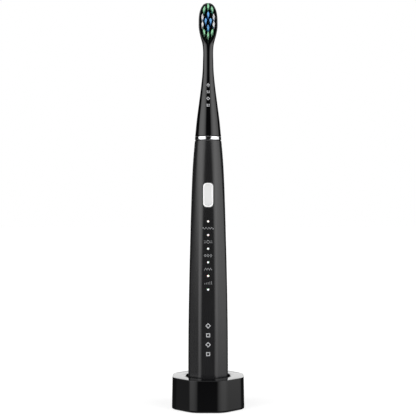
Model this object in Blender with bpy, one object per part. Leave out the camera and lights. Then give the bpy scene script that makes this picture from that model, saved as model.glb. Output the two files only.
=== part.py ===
"""Electric toothbrush standing on its induction charger.

Run with blender --background --python part.py, or from the text editor. Sizes at the top are in
millimetres and become metres when a mesh is made. +Z is up, the bristles point to -Y, and the
origin is the centre of the charger's resting face.

The assembly has five bodies, each under an empty on its joint's axis:
    charger     stands on the rubber pad
    handle      lifts straight up off the charger's post
    button      presses into the handle's front wall
    drive       the motor's armature and shaft, which swing a few degrees about Z
    brush_head  pulls straight up off the drive shaft
"""

import math

import bmesh
import bpy
from mathutils import Matrix, Vector

MM = 0.001
GAP = 0.3                      # between neighbouring pieces
ROUND_STEPS = 32               # segments round the charger and the handle
INNER_STEPS = 20               # segments of a turned piece inside them
SMALL_STEPS = 12               # segments of a screw, a pin or a light
CUT_MARGIN = 1.0               # how far a cutting shape reaches past what it cuts
EDGE = 0.2                     # small chamfer or step where two faces meet

# ---------------------------------------------------------------- charger
BASE_BOTTOM_Z = 0.4
BASE_TOP_Z = 20.5
BASE_BOTTOM_HALF = 23.35       # half the width across flats
BASE_TOP_HALF = 23.0
BASE_CORNER_RADIUS = 11.0
BASE_EDGE_FILLET = 0.8
BASE_WALL = 2.0
POCKET_RADIUS = 14.4
POCKET_FLOOR_Z = 17.5
POCKET_WALL = 1.6
POCKET_CHAMFER = 0.4
POST_BASE_RADIUS = 4.2
POST_TOP_RADIUS = 4.0
POST_TOP_Z = 30.5
POST_BORE_RADIUS = 2.9
POST_ROOF = 1.3
SKIRT_CHAMFER = 0.4
PLATE_CLEARANCE = 0.35
PAD_MARGIN = 0.5
GLAND_RECESS = 0.15
GLAND_REACH = 1.6              # how far the grommet runs inside the wall
PAD_THICKNESS = 0.5
PLATE_LOW_Z = 0.8
PLATE_THICKNESS = 1.6
SCREW_CIRCLE_RADIUS = 18.6
SCREW_ANGLES = (30.0, 150.0, 270.0)
SCREW_HEAD_RADIUS = 2.3
SCREW_SHANK_RADIUS = 1.2
SCREW_TOP_Z = 9.0
BOSS_RADIUS = 2.8
GLAND_Z = 7.0
GLAND_RADIUS = 2.6
GLAND_BORE_RADIUS = 1.6
CORE_RADIUS = 1.6
CORE_LOW_Z = 6.5
CORE_TOP_Z = 28.8
PRIMARY_COIL_RADII = (1.9, 2.6)
PRIMARY_COIL_Z = (18.0, 28.4)
CHARGER_BOARD_SIZE = (22.0, 16.0, 1.2)
CHARGER_BOARD_Z = 4.6

# ---------------------------------------------------------------- handle
HANDLE_BOTTOM_Z = 17.8
HANDLE_TOP_Z = 173.0
HANDLE_WALL = 1.25
HANDLE_CORNER_RADIUS = 4.2
HANDLE_FOOT_FILLET = 2.0
HANDLE_STATIONS = (            # height, half the width across flats
    (17.0, 12.82), (35.0, 12.80), (56.0, 12.66), (82.0, 12.26), (108.0, 11.64),
    (132.0, 10.95), (147.5, 10.40), (160.5, 9.68), (174.0, 8.56),
)
HANDLE_RING_HEIGHTS = (38.0, 60.0, 80.0, 98.0, 114.0, 129.0, 143.0, 154.0, 163.5)
FACET_FADE_START_Z = 43.0      # above this the octagon melts into a circle
FACET_FADE_LENGTH = 130.0
FACET_FADE_POWER = 1.8
FOOT_LIP_HALF = 10.1
FOOT_LIP_TOP_Z = 22.0
NOSE_HOLE_RADIUS = 5.6
NOSE_WALL = 1.4
NOSE_CHAMFER = 0.3
WALL_CUT = 3.0                 # depth of the cuts through the handle's wall

CAP_HALF = 9.8
CAP_TOP_Z = 21.7
SOCKET_RADIUS = 4.8
SOCKET_SLEEVE_RADIUS = 6.0
SOCKET_ROOF_Z = 31.5
SOCKET_TOP_Z = 32.7
SEAL_GROOVE_HALF = 8.95
SEAL_GROOVE_Z = (19.1, 20.7)
SECONDARY_RADII = (6.3, 8.6)
SECONDARY_COIL_Z = (22.1, 29.0)
SECONDARY_CORE_Z = (29.4, 31.4)

CELL_RADIUS = 7.0
CELL_Z = (38.2, 87.2)
CELL_TERMINAL_RADIUS = 2.6
CELL_TERMINAL_Z = 88.2
CELL_OFFSET_Y = 1.0
CONTACT_RADIUS = 4.0
LOWER_CONTACT_Z = (37.2, 37.8)
UPPER_CONTACT_Z = (88.6, 89.2)
CRADLE_Z = (34.0, 91.0)
CRADLE_RADII = (7.3, 8.3)
CRADLE_FLOOR = 1.3
CARRIER_Z = (91.4, 145.4)
CARRIER_RADII = (6.6, 7.8)
CARRIER_FRONT_Y = -4.1
BOARD_Y = (-5.5, -4.5)
BOARD_Z = (92.5, 144.0)
BOARD_WIDTH = 10.0

# ---------------------------------------------------------------- button and mode lights
BUTTON_Z = 137.45
BUTTON_WIDTH = 6.5
BUTTON_HEIGHT = 15.5
BUTTON_CORNER = 2.4
BUTTON_PROUD = 0.4
BUTTON_THICKNESS = 1.45
PLUNGER_RADIUS = 1.2
PLUNGER_LENGTH = 1.4
SWITCH_SIZE = (4.0, 1.4, 4.0)
SWITCH_DEPTH = 3.35            # from the outer wall face to the switch's front
MEMBRANE_DEPTH = (2.0, 2.4)
MEMBRANE_WIDTH = 7.0
MEMBRANE_HEIGHT = 16.0
LIGHT_COUNT = 6
LIGHT_TOP_Z = 120.6
LIGHT_PITCH = 8.71
LIGHT_RADIUS = 0.6
GUIDE_DEPTH = (1.6, 2.8)
GUIDE_WIDTH = 2.6
GUIDE_END_MARGIN = 2.6

# ---------------------------------------------------------------- motor and shaft
CAN_Z = (146.0, 168.0)
CAN_RADII = (6.4, 7.0)
BUSH_RADII = (2.2, 6.1)
REAR_BEARING_Z = (146.4, 148.4)
FRONT_BEARING_Z = (165.3, 167.3)
SPRING_Z = (149.0, 152.0)
SPRING_MEAN_RADIUS = 3.0
SPRING_WIRE_RADIUS = 0.3
SPRING_TURNS = 3
STATOR_RADII = (4.7, 6.1)
LOWER_COIL_Z = (152.5, 156.0)
STATOR_CORE_Z = (156.3, 159.3)
UPPER_COIL_Z = (159.6, 163.1)
YOKE_RADII = (2.2, 3.0)
YOKE_Z = (153.0, 163.0)
MAGNET_RADII = (3.3, 4.3)
MAGNET_Z = (153.5, 162.5)
MAGNET_SPAN = 110.0            # degrees
DAMPER_RADII = (7.3, 8.5)
DAMPER_Z = (147.5, 149.5)
NOSE_BUSH_RADII = (2.2, 7.0)
NOSE_BUSH_Z = (168.5, 171.2)
SHAFT_SEAL_RADII = (2.2, 5.2)
SHAFT_SEAL_Z = (171.5, 173.0)
SHAFT_RADIUS = 1.9
SHAFT_Z = (147.0, 196.0)
SHAFT_FLAT_Y = -1.45
SHAFT_FLAT_LOW_Z = 181.0

# ---------------------------------------------------------------- brush head
RING_Z = (173.3, 175.3)
RING_RADII = (7.3, 8.5)
COLLAR_RADII = (6.3, 7.0)
COLLAR_BOTTOM_Z = 173.6
NECK_BOTTOM_Z = 175.6
NECK_CAVITY_TOP_Z = 198.5
NECK_WALL = 1.4
HEAD_STATIONS = (              # height, half width, half depth, how far back the middle lies
    (175.6, 8.45, 8.45, 0.0), (186.4, 7.44, 7.44, 0.0), (196.8, 6.10, 6.10, 0.0),
    (207.2, 4.74, 4.74, 0.0), (217.6, 3.68, 3.60, 0.0), (225.4, 3.40, 3.05, 0.05),
    (230.8, 3.30, 2.75, 0.20), (235.8, 3.75, 2.45, 0.45), (241.0, 5.20, 2.30, 0.70),
    (246.0, 6.13, 2.30, 0.70), (250.0, 6.19, 2.30, 0.70),
)
HEAD_RING_HEIGHTS = (
    175.6, 183.0, 190.0, 197.0, 204.0, 211.0, 218.0, 225.0, 230.5, 234.0, 237.0, 240.0, 243.0, 246.5,
)
HEAD_CROWN_Z = 250.0           # above this the outline is a superellipse
HEAD_TOP_Z = 262.4
HEAD_CROWN_POWER = 2.3
HEAD_SECTION_POWER = 6.0
HEAD_SQUARING_Z = (236.0, 243.0)
CROWN_STEPS = 5
HEAD_STEPS = 24                # segments round the brush head
HEAD_FACE_Y = -1.6
SOCKET_INSERT_Z = (179.0, 197.5)
SOCKET_INSERT_RADII = (6.0, 3.9)
SOCKET_INSERT_BORE = 2.2
CLIP_GROOVE_Z = (186.0, 188.2)
CLIP_GROOVE_RADIUS = 3.5
CLIP_RADII = (2.5, 3.2)
CLIP_SPAN = 290.0              # degrees
TUFT_TIP_Y = -11.6
TUFT_HALF_WIDTH = 0.95
TUFT_HALF_HEIGHT = 2.05
TUFT_TILT = 14.0               # degrees, of the tufts that follow the oval's shoulders
TUFTS = (                      # x, height, degrees of tilt, colour
    (0.0, 258.4, 0.0, "green"), (-2.54, 256.4, TUFT_TILT, "green"),
    (2.54, 256.4, -TUFT_TILT, "green"), (0.0, 253.0, 0.0, "blue"),
    (-3.6, 251.4, 0.0, "white"), (3.6, 251.4, 0.0, "white"),
    (-1.53, 249.0, 0.0, "blue"), (1.53, 249.0, 0.0, "blue"),
    (-3.6, 246.7, 0.0, "white"), (3.6, 246.7, 0.0, "white"),
    (0.0, 244.6, 0.0, "blue"), (-2.57, 241.9, -TUFT_TILT, "green"),
    (2.57, 241.9, TUFT_TILT, "green"), (0.0, 240.1, 0.0, "green"),
)

# ---------------------------------------------------------------- finishes
FINISHES = {                   # linear red, green, blue, then roughness and metallic
    "gloss black": ((0.006, 0.006, 0.007), 0.12, 0.0),
    "satin black": ((0.012, 0.012, 0.013), 0.38, 0.0),
    "chrome": ((0.80, 0.80, 0.81), 0.08, 1.0),
    "steel": ((0.50, 0.50, 0.51), 0.28, 1.0),
    "copper": ((0.72, 0.30, 0.16), 0.30, 1.0),
    "ferrite": ((0.045, 0.042, 0.042), 0.70, 0.0),
    "magnet nickel": ((0.62, 0.60, 0.55), 0.22, 1.0),
    "black rubber": ((0.016, 0.016, 0.016), 0.80, 0.0),
    "grey rubber": ((0.22, 0.22, 0.23), 0.75, 0.0),
    "white acetal": ((0.78, 0.78, 0.76), 0.35, 0.0),
    "grey frame plastic": ((0.30, 0.31, 0.33), 0.50, 0.0),
    "bronze": ((0.55, 0.34, 0.16), 0.35, 1.0),
    "circuit green": ((0.015, 0.16, 0.06), 0.40, 0.0),
    "cell wrap blue": ((0.03, 0.16, 0.42), 0.35, 0.0),
    "clear light guide": ((0.90, 0.92, 0.95), 0.20, 0.0),
    "green": ((0.22, 0.68, 0.35), 0.45, 0.0),
    "blue": ((0.18, 0.51, 0.87), 0.45, 0.0),
    "white": ((0.75, 0.75, 0.75), 0.45, 0.0),
}


# ---------------------------------------------------------------- outlines

def circle(radius, centre=(0.0, 0.0), steps=ROUND_STEPS):
    """Points of a circle, spaced evenly and symmetric about X and Y."""
    turns = [math.tau * (step + 0.5) / steps for step in range(steps)]
    return [(centre[0] + radius * math.cos(a), centre[1] + radius * math.sin(a)) for a in turns]


def octagon(half_width, corner_radius, facets=1.0, steps=ROUND_STEPS):
    """Regular octagon with rounded corners; facets=0 gives the circle of the same width."""
    per_corner = steps // 8
    reach = (half_width - corner_radius) / math.cos(math.radians(22.5))
    round_points = circle(half_width, steps=steps)
    points = []
    for index in range(steps):
        corner, place = divmod(index, per_corner)
        middle = math.radians(22.5 + 45.0 * corner)
        angle = middle + math.radians(45.0) * (place / (per_corner - 1) - 0.5)
        x = reach * math.cos(middle) + corner_radius * math.cos(angle)
        y = reach * math.sin(middle) + corner_radius * math.sin(angle)
        round_x, round_y = round_points[index]
        points.append((facets * x + (1 - facets) * round_x, facets * y + (1 - facets) * round_y))
    return points


def oval(half_width, half_depth, back, power, steps):
    """Superellipse of the brush head; power 2 is an ellipse, a higher one is squarer."""
    points = []
    for x, y in circle(1.0, steps=steps):
        x_out = math.copysign(abs(x) ** (2.0 / power), x)
        y_out = math.copysign(abs(y) ** (2.0 / power), y)
        points.append((half_width * x_out, back + half_depth * y_out))
    return points


def rounded(width, height, corner, steps=SMALL_STEPS):
    """Outline of the button: a rectangle with round corners, in X and Z."""
    points = []
    for x, z in circle(corner, steps=steps):
        points.append((
            x + math.copysign(width / 2 - corner, x), z + math.copysign(height / 2 - corner, z),
        ))
    return points


def arc_band(radii, span_degrees, middle_degrees, steps=12):
    """Outline of a sector between two radii."""
    inner, outer = radii
    first = math.radians(middle_degrees - span_degrees / 2)
    angles = [first + math.radians(span_degrees) * step / steps for step in range(steps + 1)]
    out_points = [(outer * math.cos(a), outer * math.sin(a)) for a in angles]
    in_points = [(inner * math.cos(a), inner * math.sin(a)) for a in reversed(angles)]
    return out_points + in_points


def smooth_between(stations, height):
    """Catmull-Rom value of each column of the stations at a height."""
    last = len(stations) - 2
    index = next((i for i in range(last) if height < stations[i + 1][0]), last)
    low, high = stations[index], stations[index + 1]
    before = stations[max(index - 1, 0)]
    after = stations[min(index + 2, len(stations) - 1)]
    span = high[0] - low[0]
    t = (height - low[0]) / span
    values = []
    for column in range(1, len(low)):
        slope_low = (high[column] - before[column]) / (high[0] - before[0]) * span
        slope_high = (after[column] - low[column]) / (after[0] - low[0]) * span
        values.append(
            (2 * t**3 - 3 * t**2 + 1) * low[column] + (t**3 - 2 * t**2 + t) * slope_low
            + (3 * t**2 - 2 * t**3) * high[column] + (t**3 - t**2) * slope_high
        )
    return values


def handle_half(height):
    """Half the handle's width across flats at a height."""
    return smooth_between(HANDLE_STATIONS, height)[0]


def handle_facets(height):
    """How much of the octagon is left at a height: 1 at the foot, 0 at the nose."""
    t = (height - FACET_FADE_START_Z) / FACET_FADE_LENGTH
    return 1.0 - min(max(t, 0.0), 1.0) ** FACET_FADE_POWER


def front_wall_tilt(low_z, high_z):
    """Angle by which the front wall leans back between two heights, in radians."""
    return math.atan2(handle_half(low_z) - handle_half(high_z), high_z - low_z)


# ---------------------------------------------------------------- meshes

def at_height(points, height):
    return [(x, y, height) for x, y in points]


def loft(rings, closed=False):
    """Skin over rings of equally many points. A closed loft joins its last ring to its first."""
    bm = bmesh.new()
    loops = [[bm.verts.new(Vector(point) * MM) for point in ring] for ring in rings]
    pairs = list(zip(loops, loops[1:]))
    if closed:
        pairs.append((loops[-1], loops[0]))
    else:
        bm.faces.new(loops[0])
        bm.faces.new(loops[-1])
    for lower, upper in pairs:
        for i in range(len(lower)):
            j = (i + 1) % len(lower)
            bm.faces.new((lower[i], lower[j], upper[j], upper[i]))
    bmesh.ops.recalc_face_normals(bm, faces=bm.faces)
    return bm


def turned(profile, centre=(0.0, 0.0), steps=INNER_STEPS):
    """Ring-shaped body: a closed outline of (radius, height) spun about a vertical axis."""
    bm = bmesh.new()
    axis_x, axis_y = centre
    start = [bm.verts.new(Vector((axis_x + r, axis_y, z)) * MM) for r, z in profile]
    outline = [bm.edges.new((a, b)) for a, b in zip(start, start[1:] + start[:1])]
    bmesh.ops.spin(
        bm, geom=start + outline, cent=Vector((axis_x, axis_y, 0.0)) * MM, axis=(0, 0, 1),
        angle=math.tau, steps=steps, use_merge=True,
    )
    bmesh.ops.recalc_face_normals(bm, faces=bm.faces)
    return bm


def tube(radii, heights, centre=(0.0, 0.0), steps=INNER_STEPS):
    inner, outer = radii
    low, high = heights
    return turned([(inner, low), (outer, low), (outer, high), (inner, high)], centre, steps)


def rod(radius, heights, centre=(0.0, 0.0), steps=INNER_STEPS):
    return loft([at_height(circle(radius, centre, steps), z) for z in heights])


def prism(outline, heights):
    """Outline in X and Y, extruded up between two heights."""
    bm = bmesh.new()
    low, high = heights
    face = bm.faces.new([bm.verts.new(Vector((x, y, low)) * MM) for x, y in outline])
    moved = bmesh.ops.extrude_face_region(bm, geom=[face])["geom"]
    corners = [item for item in moved if isinstance(item, bmesh.types.BMVert)]
    bmesh.ops.translate(bm, verts=corners, vec=(0.0, 0.0, (high - low) * MM))
    bmesh.ops.recalc_face_normals(bm, faces=bm.faces)
    return bm


def plate_facing_front(outline, depths):
    """Outline in X and Z, extruded along +Y between two depths."""
    bm = prism(outline, depths)
    for vert in bm.verts:
        x, z, y = vert.co
        vert.co = (x, y, z)
    bmesh.ops.recalc_face_normals(bm, faces=bm.faces)
    return bm


def block(low, high):
    """Box between two opposite corners."""
    bm = bmesh.new()
    size = [b - a for a, b in zip(low, high)]
    middle = [(a + b) / 2 for a, b in zip(low, high)]
    place = Matrix.Translation(Vector(middle) * MM) @ Matrix.Diagonal((*[s * MM for s in size], 1))
    bmesh.ops.create_cube(bm, size=1.0, matrix=place)
    return bm


def merged(pieces):
    """Several separate meshes in one, used for cutters and for what is joined on."""
    whole = bmesh.new()
    for bm in pieces:
        part = bpy.data.meshes.new("piece")
        bm.to_mesh(part)
        bm.free()
        whole.from_mesh(part)
        bpy.data.meshes.remove(part)
    return whole


# ---------------------------------------------------------------- objects

def finish_material(name, finish):
    colour, roughness, metallic = FINISHES[finish]
    material = bpy.data.materials.new(f"{name} {finish}")
    material.use_nodes = True
    shader = material.node_tree.nodes["Principled BSDF"]
    shader.inputs["Base Color"].default_value = (*colour, 1.0)
    shader.inputs["Roughness"].default_value = roughness
    shader.inputs["Metallic"].default_value = metallic
    material.diffuse_color = (*colour, 1.0)
    return material


def joint_empty(name, position, parent=None):
    """Empty on a body's joint axis; the body's pieces hang under it."""
    empty = bpy.data.objects.new(name, None)
    empty.empty_display_size = 10 * MM
    bpy.context.scene.collection.objects.link(empty)
    empty.parent = parent
    offset = Vector(position) * MM
    if parent:
        offset = offset - parent.matrix_world.translation
    empty.location = offset
    bpy.context.view_layer.update()
    return empty


def piece(name, bm, finish, body, origin=None, tilt=0.0, smooth_degrees=35.0):
    """Object from a mesh made in world coordinates, or around origin when one is given."""
    mesh = bpy.data.meshes.new(name)
    if origin is None:
        origin_world = body.matrix_world.translation.copy()
        bm.transform(Matrix.Translation(-origin_world))
    else:
        origin_world = Vector(origin) * MM
    bm.to_mesh(mesh)
    bm.free()
    mesh.shade_smooth()
    mesh.set_sharp_from_angle(angle=math.radians(smooth_degrees))
    mesh.materials.append(finish_material(name, finish))
    obj = bpy.data.objects.new(name, mesh)
    bpy.context.scene.collection.objects.link(obj)
    obj.parent = body
    obj.location = origin_world - body.matrix_world.translation
    obj.rotation_euler = (-tilt, 0.0, 0.0)
    return obj


def boolean(target, name, bm, operation="DIFFERENCE", tilt=0.0, origin=None):
    """Cut a hidden shape from an object, or join it on."""
    mesh = bpy.data.meshes.new(name)
    bm.to_mesh(mesh)
    bm.free()
    helper = bpy.data.objects.new(name, mesh)
    bpy.context.scene.collection.objects.link(helper)
    helper.hide_render = True
    helper.display_type = "WIRE"
    if origin is not None:
        helper.location = Vector(origin) * MM
    helper.rotation_euler = (-tilt, 0.0, 0.0)
    modifier = target.modifiers.new(name, "BOOLEAN")
    modifier.operation = operation
    modifier.object = helper


# ---------------------------------------------------------------- charger

def base_half(height):
    """Half the charger's width across flats at a height."""
    t = (height - BASE_BOTTOM_Z) / (BASE_TOP_Z - BASE_BOTTOM_Z)
    return BASE_BOTTOM_HALF + t * (BASE_TOP_HALF - BASE_BOTTOM_HALF)


def base_housing(body):
    """One moulding: post, pocket, deck and octagonal skirt, open underneath."""
    fillet = BASE_EDGE_FILLET
    inner_corner = BASE_CORNER_RADIUS - BASE_WALL
    inner_half = BASE_BOTTOM_HALF - BASE_WALL
    rings = [
        at_height(circle(POST_TOP_RADIUS - fillet), POST_TOP_Z),
        at_height(circle(POST_TOP_RADIUS), POST_TOP_Z - fillet),
        at_height(circle(POST_BASE_RADIUS), POCKET_FLOOR_Z),
        at_height(circle(POCKET_RADIUS), POCKET_FLOOR_Z),
        at_height(circle(POCKET_RADIUS), BASE_TOP_Z - POCKET_CHAMFER),
        at_height(circle(POCKET_RADIUS + POCKET_CHAMFER), BASE_TOP_Z),
    ]
    for angle in (90.0, 60.0, 30.0, 0.0):
        rise = fillet * (math.sin(math.radians(angle)) - 1.0)
        inset = fillet * (1.0 - math.cos(math.radians(angle)))
        half = BASE_TOP_HALF - inset
        corner = BASE_CORNER_RADIUS - inset
        rings.append(at_height(octagon(half, corner), BASE_TOP_Z + rise))
    chamfer = SKIRT_CHAMFER
    skirt_z = BASE_BOTTOM_Z + chamfer
    rings += [
        at_height(octagon(base_half(skirt_z), BASE_CORNER_RADIUS), skirt_z),
        at_height(octagon(BASE_BOTTOM_HALF - chamfer, BASE_CORNER_RADIUS - chamfer), BASE_BOTTOM_Z),
        at_height(octagon(inner_half, inner_corner), BASE_BOTTOM_Z),
        at_height(octagon(inner_half, inner_corner), BASE_TOP_Z - BASE_WALL),
        at_height(circle(POCKET_RADIUS + POCKET_WALL), BASE_TOP_Z - BASE_WALL),
        at_height(circle(POCKET_RADIUS + POCKET_WALL), POCKET_FLOOR_Z - POCKET_WALL),
        at_height(circle(POST_BORE_RADIUS), POCKET_FLOOR_Z - POCKET_WALL),
        at_height(circle(POST_BORE_RADIUS), POST_TOP_Z - POST_ROOF),
    ]
    housing = piece("base_housing", loft(rings), "gloss black", body)

    places = screw_places()
    boss_low = PLATE_LOW_Z + PLATE_THICKNESS + GAP
    boss_high = BASE_TOP_Z - BASE_WALL / 2
    bosses = [rod(BOSS_RADIUS, (boss_low, boss_high), place, SMALL_STEPS) for place in places]
    boolean(housing, "screw_bosses", merged(bosses), "UNION")
    pilot = SCREW_SHANK_RADIUS + GAP
    depth = (boss_low - CUT_MARGIN, SCREW_TOP_Z + GAP)
    pilots = [rod(pilot, depth, place, SMALL_STEPS) for place in places]
    boolean(housing, "screw_pilots", merged(pilots))
    reach = (inner_half - GLAND_REACH - GAP, BASE_BOTTOM_HALF + CUT_MARGIN)
    inlet = rod(GLAND_RADIUS + GAP, reach, steps=SMALL_STEPS)
    inlet.transform(Matrix.Rotation(-math.pi / 2, 4, "X"))
    boolean(housing, "cord_inlet", inlet, origin=(0.0, 0.0, GLAND_Z))


def screw_places():
    angles = [math.radians(angle) for angle in SCREW_ANGLES]
    return [(SCREW_CIRCLE_RADIUS * math.cos(a), SCREW_CIRCLE_RADIUS * math.sin(a)) for a in angles]


def base_underside(body):
    """Floor plate, its three screws and the rubber pad."""
    half = BASE_BOTTOM_HALF - BASE_WALL - PLATE_CLEARANCE
    corner = BASE_CORNER_RADIUS - BASE_WALL - PLATE_CLEARANCE
    plate_top = PLATE_LOW_Z + PLATE_THICKNESS
    outline = octagon(half, corner)
    plate = piece("base_plate", prism(outline, (PLATE_LOW_Z, plate_top)), "satin black", body)
    hole = SCREW_HEAD_RADIUS + GAP
    depth = (PLATE_LOW_Z - CUT_MARGIN, plate_top + CUT_MARGIN)
    holes = [rod(hole, depth, place, SMALL_STEPS) for place in screw_places()]
    boolean(plate, "screw_holes", merged(holes))

    pad_outline = octagon(half - PAD_MARGIN, corner - PAD_MARGIN)
    piece("base_pad", prism(pad_outline, (0.0, PAD_THICKNESS)), "black rubber", body)

    for number, place in enumerate(screw_places(), start=1):
        rings = [
            at_height(circle(SCREW_HEAD_RADIUS, place, SMALL_STEPS), PLATE_LOW_Z + EDGE),
            at_height(circle(SCREW_HEAD_RADIUS, place, SMALL_STEPS), plate_top - EDGE),
            at_height(circle(SCREW_SHANK_RADIUS, place, SMALL_STEPS), plate_top - EDGE),
            at_height(circle(SCREW_SHANK_RADIUS, place, SMALL_STEPS), SCREW_TOP_Z - 1.0),
            at_height(circle(SCREW_SHANK_RADIUS / 2, place, SMALL_STEPS), SCREW_TOP_Z),
        ]
        piece(f"base_screw_{number}", loft(rings), "steel", body)


def charging_side(body):
    """Primary coil on its ferrite rod inside the post, the driver board and the cord inlet."""
    piece("charger_core", rod(CORE_RADIUS, (CORE_LOW_Z, CORE_TOP_Z), steps=SMALL_STEPS), "ferrite", body)
    piece("charger_coil", tube(PRIMARY_COIL_RADII, PRIMARY_COIL_Z), "copper", body)
    width, depth, thick = CHARGER_BOARD_SIZE
    low = (-width / 2, -depth / 2, CHARGER_BOARD_Z)
    high = (width / 2, depth / 2, CHARGER_BOARD_Z + thick)
    piece("charger_board", block(low, high), "circuit green", body)

    face = base_half(GLAND_Z) - GLAND_RECESS
    inside = BASE_BOTTOM_HALF - BASE_WALL - GLAND_REACH
    gland = tube((GLAND_BORE_RADIUS, GLAND_RADIUS), (inside, face), steps=SMALL_STEPS)
    gland.transform(Matrix.Rotation(-math.pi / 2, 4, "X"))
    piece("cable_gland", gland, "black rubber", body, origin=(0.0, 0.0, GLAND_Z))


# ---------------------------------------------------------------- handle

def handle_ring(height, inset=0.0):
    half = handle_half(height) - inset
    corner = HANDLE_CORNER_RADIUS - min(inset, HANDLE_CORNER_RADIUS - 1.5)
    return at_height(octagon(half, corner, handle_facets(height)), height)


def handle_shell(body):
    """One tapering tube: rounded foot with an inner lip, faceted grip, closed-in round nose."""
    fillet = HANDLE_FOOT_FILLET
    rings = []
    for angle in (90.0, 60.0, 30.0, 0.0):
        drop = fillet * (1.0 - math.sin(math.radians(angle)))
        inset = fillet * (1.0 - math.cos(math.radians(angle)))
        half = HANDLE_STATIONS[0][1] - inset
        points = octagon(half, HANDLE_CORNER_RADIUS - inset)
        rings.append(at_height(points, HANDLE_BOTTOM_Z + drop))
    rings += [handle_ring(z) for z in HANDLE_RING_HEIGHTS]
    rings += [
        handle_ring(HANDLE_TOP_Z - NOSE_CHAMFER),
        at_height(circle(handle_half(HANDLE_TOP_Z) - NOSE_CHAMFER), HANDLE_TOP_Z),
    ]
    nose_floor = HANDLE_TOP_Z - NOSE_WALL
    rings += [
        at_height(circle(NOSE_HOLE_RADIUS), HANDLE_TOP_Z),
        at_height(circle(NOSE_HOLE_RADIUS), nose_floor),
        handle_ring(nose_floor, HANDLE_WALL),
    ]
    rings += [handle_ring(z, HANDLE_WALL) for z in reversed(HANDLE_RING_HEIGHTS[::2])]
    lip_corner = HANDLE_CORNER_RADIUS - HANDLE_FOOT_FILLET
    rings += [
        handle_ring(FOOT_LIP_TOP_Z + 0.5, HANDLE_WALL),
        at_height(octagon(FOOT_LIP_HALF, lip_corner), FOOT_LIP_TOP_Z),
        at_height(octagon(FOOT_LIP_HALF, lip_corner), HANDLE_BOTTOM_Z),
    ]
    shell = piece("handle_shell", loft(rings, closed=True), "satin black", body)

    button_hole = rounded(BUTTON_WIDTH + 2 * GAP, BUTTON_HEIGHT + 2 * GAP, BUTTON_CORNER + GAP)
    cutter = plate_facing_front(button_hole, (-WALL_CUT, WALL_CUT))
    boolean(shell, "button_opening", cutter, tilt=button_tilt(), origin=button_place())

    pips = [pip(index, LIGHT_RADIUS + GAP, (-WALL_CUT, WALL_CUT)) for index in range(LIGHT_COUNT)]
    boolean(shell, "light_openings", merged(pips), tilt=guide_tilt(), origin=guide_place())


def foot_cap(body):
    """Plug with the charging socket, its seal, and the receiving coil around the socket."""
    corner = HANDLE_CORNER_RADIUS - HANDLE_FOOT_FILLET - GAP
    low = HANDLE_BOTTOM_Z + 0.2
    groove_low, groove_high = SEAL_GROOVE_Z
    rings = [
        at_height(circle(SOCKET_RADIUS), SOCKET_ROOF_Z),
        at_height(circle(SOCKET_RADIUS), low + 0.5),
        at_height(circle(SOCKET_RADIUS + 0.5), low),
        at_height(octagon(CAP_HALF, corner), low),
        at_height(octagon(CAP_HALF, corner), groove_low),
        at_height(octagon(SEAL_GROOVE_HALF, corner - 0.85), groove_low),
        at_height(octagon(SEAL_GROOVE_HALF, corner - 0.85), groove_high),
        at_height(octagon(CAP_HALF, corner), groove_high),
        at_height(octagon(CAP_HALF, corner), CAP_TOP_Z),
        at_height(circle(SOCKET_SLEEVE_RADIUS), CAP_TOP_Z),
        at_height(circle(SOCKET_SLEEVE_RADIUS), SOCKET_TOP_Z - 0.6),
        at_height(circle(SOCKET_SLEEVE_RADIUS - 0.6), SOCKET_TOP_Z),
    ]
    piece("bottom_cap", loft(rings), "satin black", body)

    inner = SEAL_GROOVE_HALF + GAP
    outer = CAP_HALF + 0.05
    seal_low, seal_high = groove_low + GAP, groove_high - GAP
    seal = [
        at_height(octagon(inner, 1.3), seal_low), at_height(octagon(outer, 1.9), seal_low),
        at_height(octagon(outer, 1.9), seal_high), at_height(octagon(inner, 1.3), seal_high),
    ]
    piece("bottom_seal", loft(seal, closed=True), "black rubber", body)
    piece("receiver_coil", tube(SECONDARY_RADII, SECONDARY_COIL_Z), "copper", body)
    piece("receiver_core", tube(SECONDARY_RADII, SECONDARY_CORE_Z), "ferrite", body)


def battery_group(body):
    """Cell, its two contacts and the cradle that holds them, open to the front."""
    centre = (0.0, CELL_OFFSET_Y)
    low, high = CELL_Z
    rings = [
        at_height(circle(CELL_RADIUS, centre, INNER_STEPS), low),
        at_height(circle(CELL_RADIUS, centre, INNER_STEPS), high - 0.4),
        at_height(circle(CELL_RADIUS - 0.4, centre, INNER_STEPS), high),
        at_height(circle(CELL_TERMINAL_RADIUS, centre, INNER_STEPS), high),
        at_height(circle(CELL_TERMINAL_RADIUS, centre, INNER_STEPS), CELL_TERMINAL_Z),
    ]
    piece("battery_cell", loft(rings), "cell wrap blue", body)
    lower = rod(CONTACT_RADIUS, LOWER_CONTACT_Z, centre, SMALL_STEPS)
    upper = rod(CONTACT_RADIUS, UPPER_CONTACT_Z, centre, SMALL_STEPS)
    piece("battery_contact_lower", lower, "magnet nickel", body)
    piece("battery_contact_upper", upper, "magnet nickel", body)

    inner, outer = CRADLE_RADII
    low, high = CRADLE_Z
    cradle = piece("battery_cradle", rod(outer, CRADLE_Z, centre), "grey frame plastic", body)
    hollow = rod(inner, (low + CRADLE_FLOOR, high - CRADLE_FLOOR), centre)
    boolean(cradle, "cell_space", hollow)
    window = block((-5.5, -outer - 2.0, low + 3.0), (5.5, -3.0, high - 3.0))
    boolean(cradle, "cradle_window", window)


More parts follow.
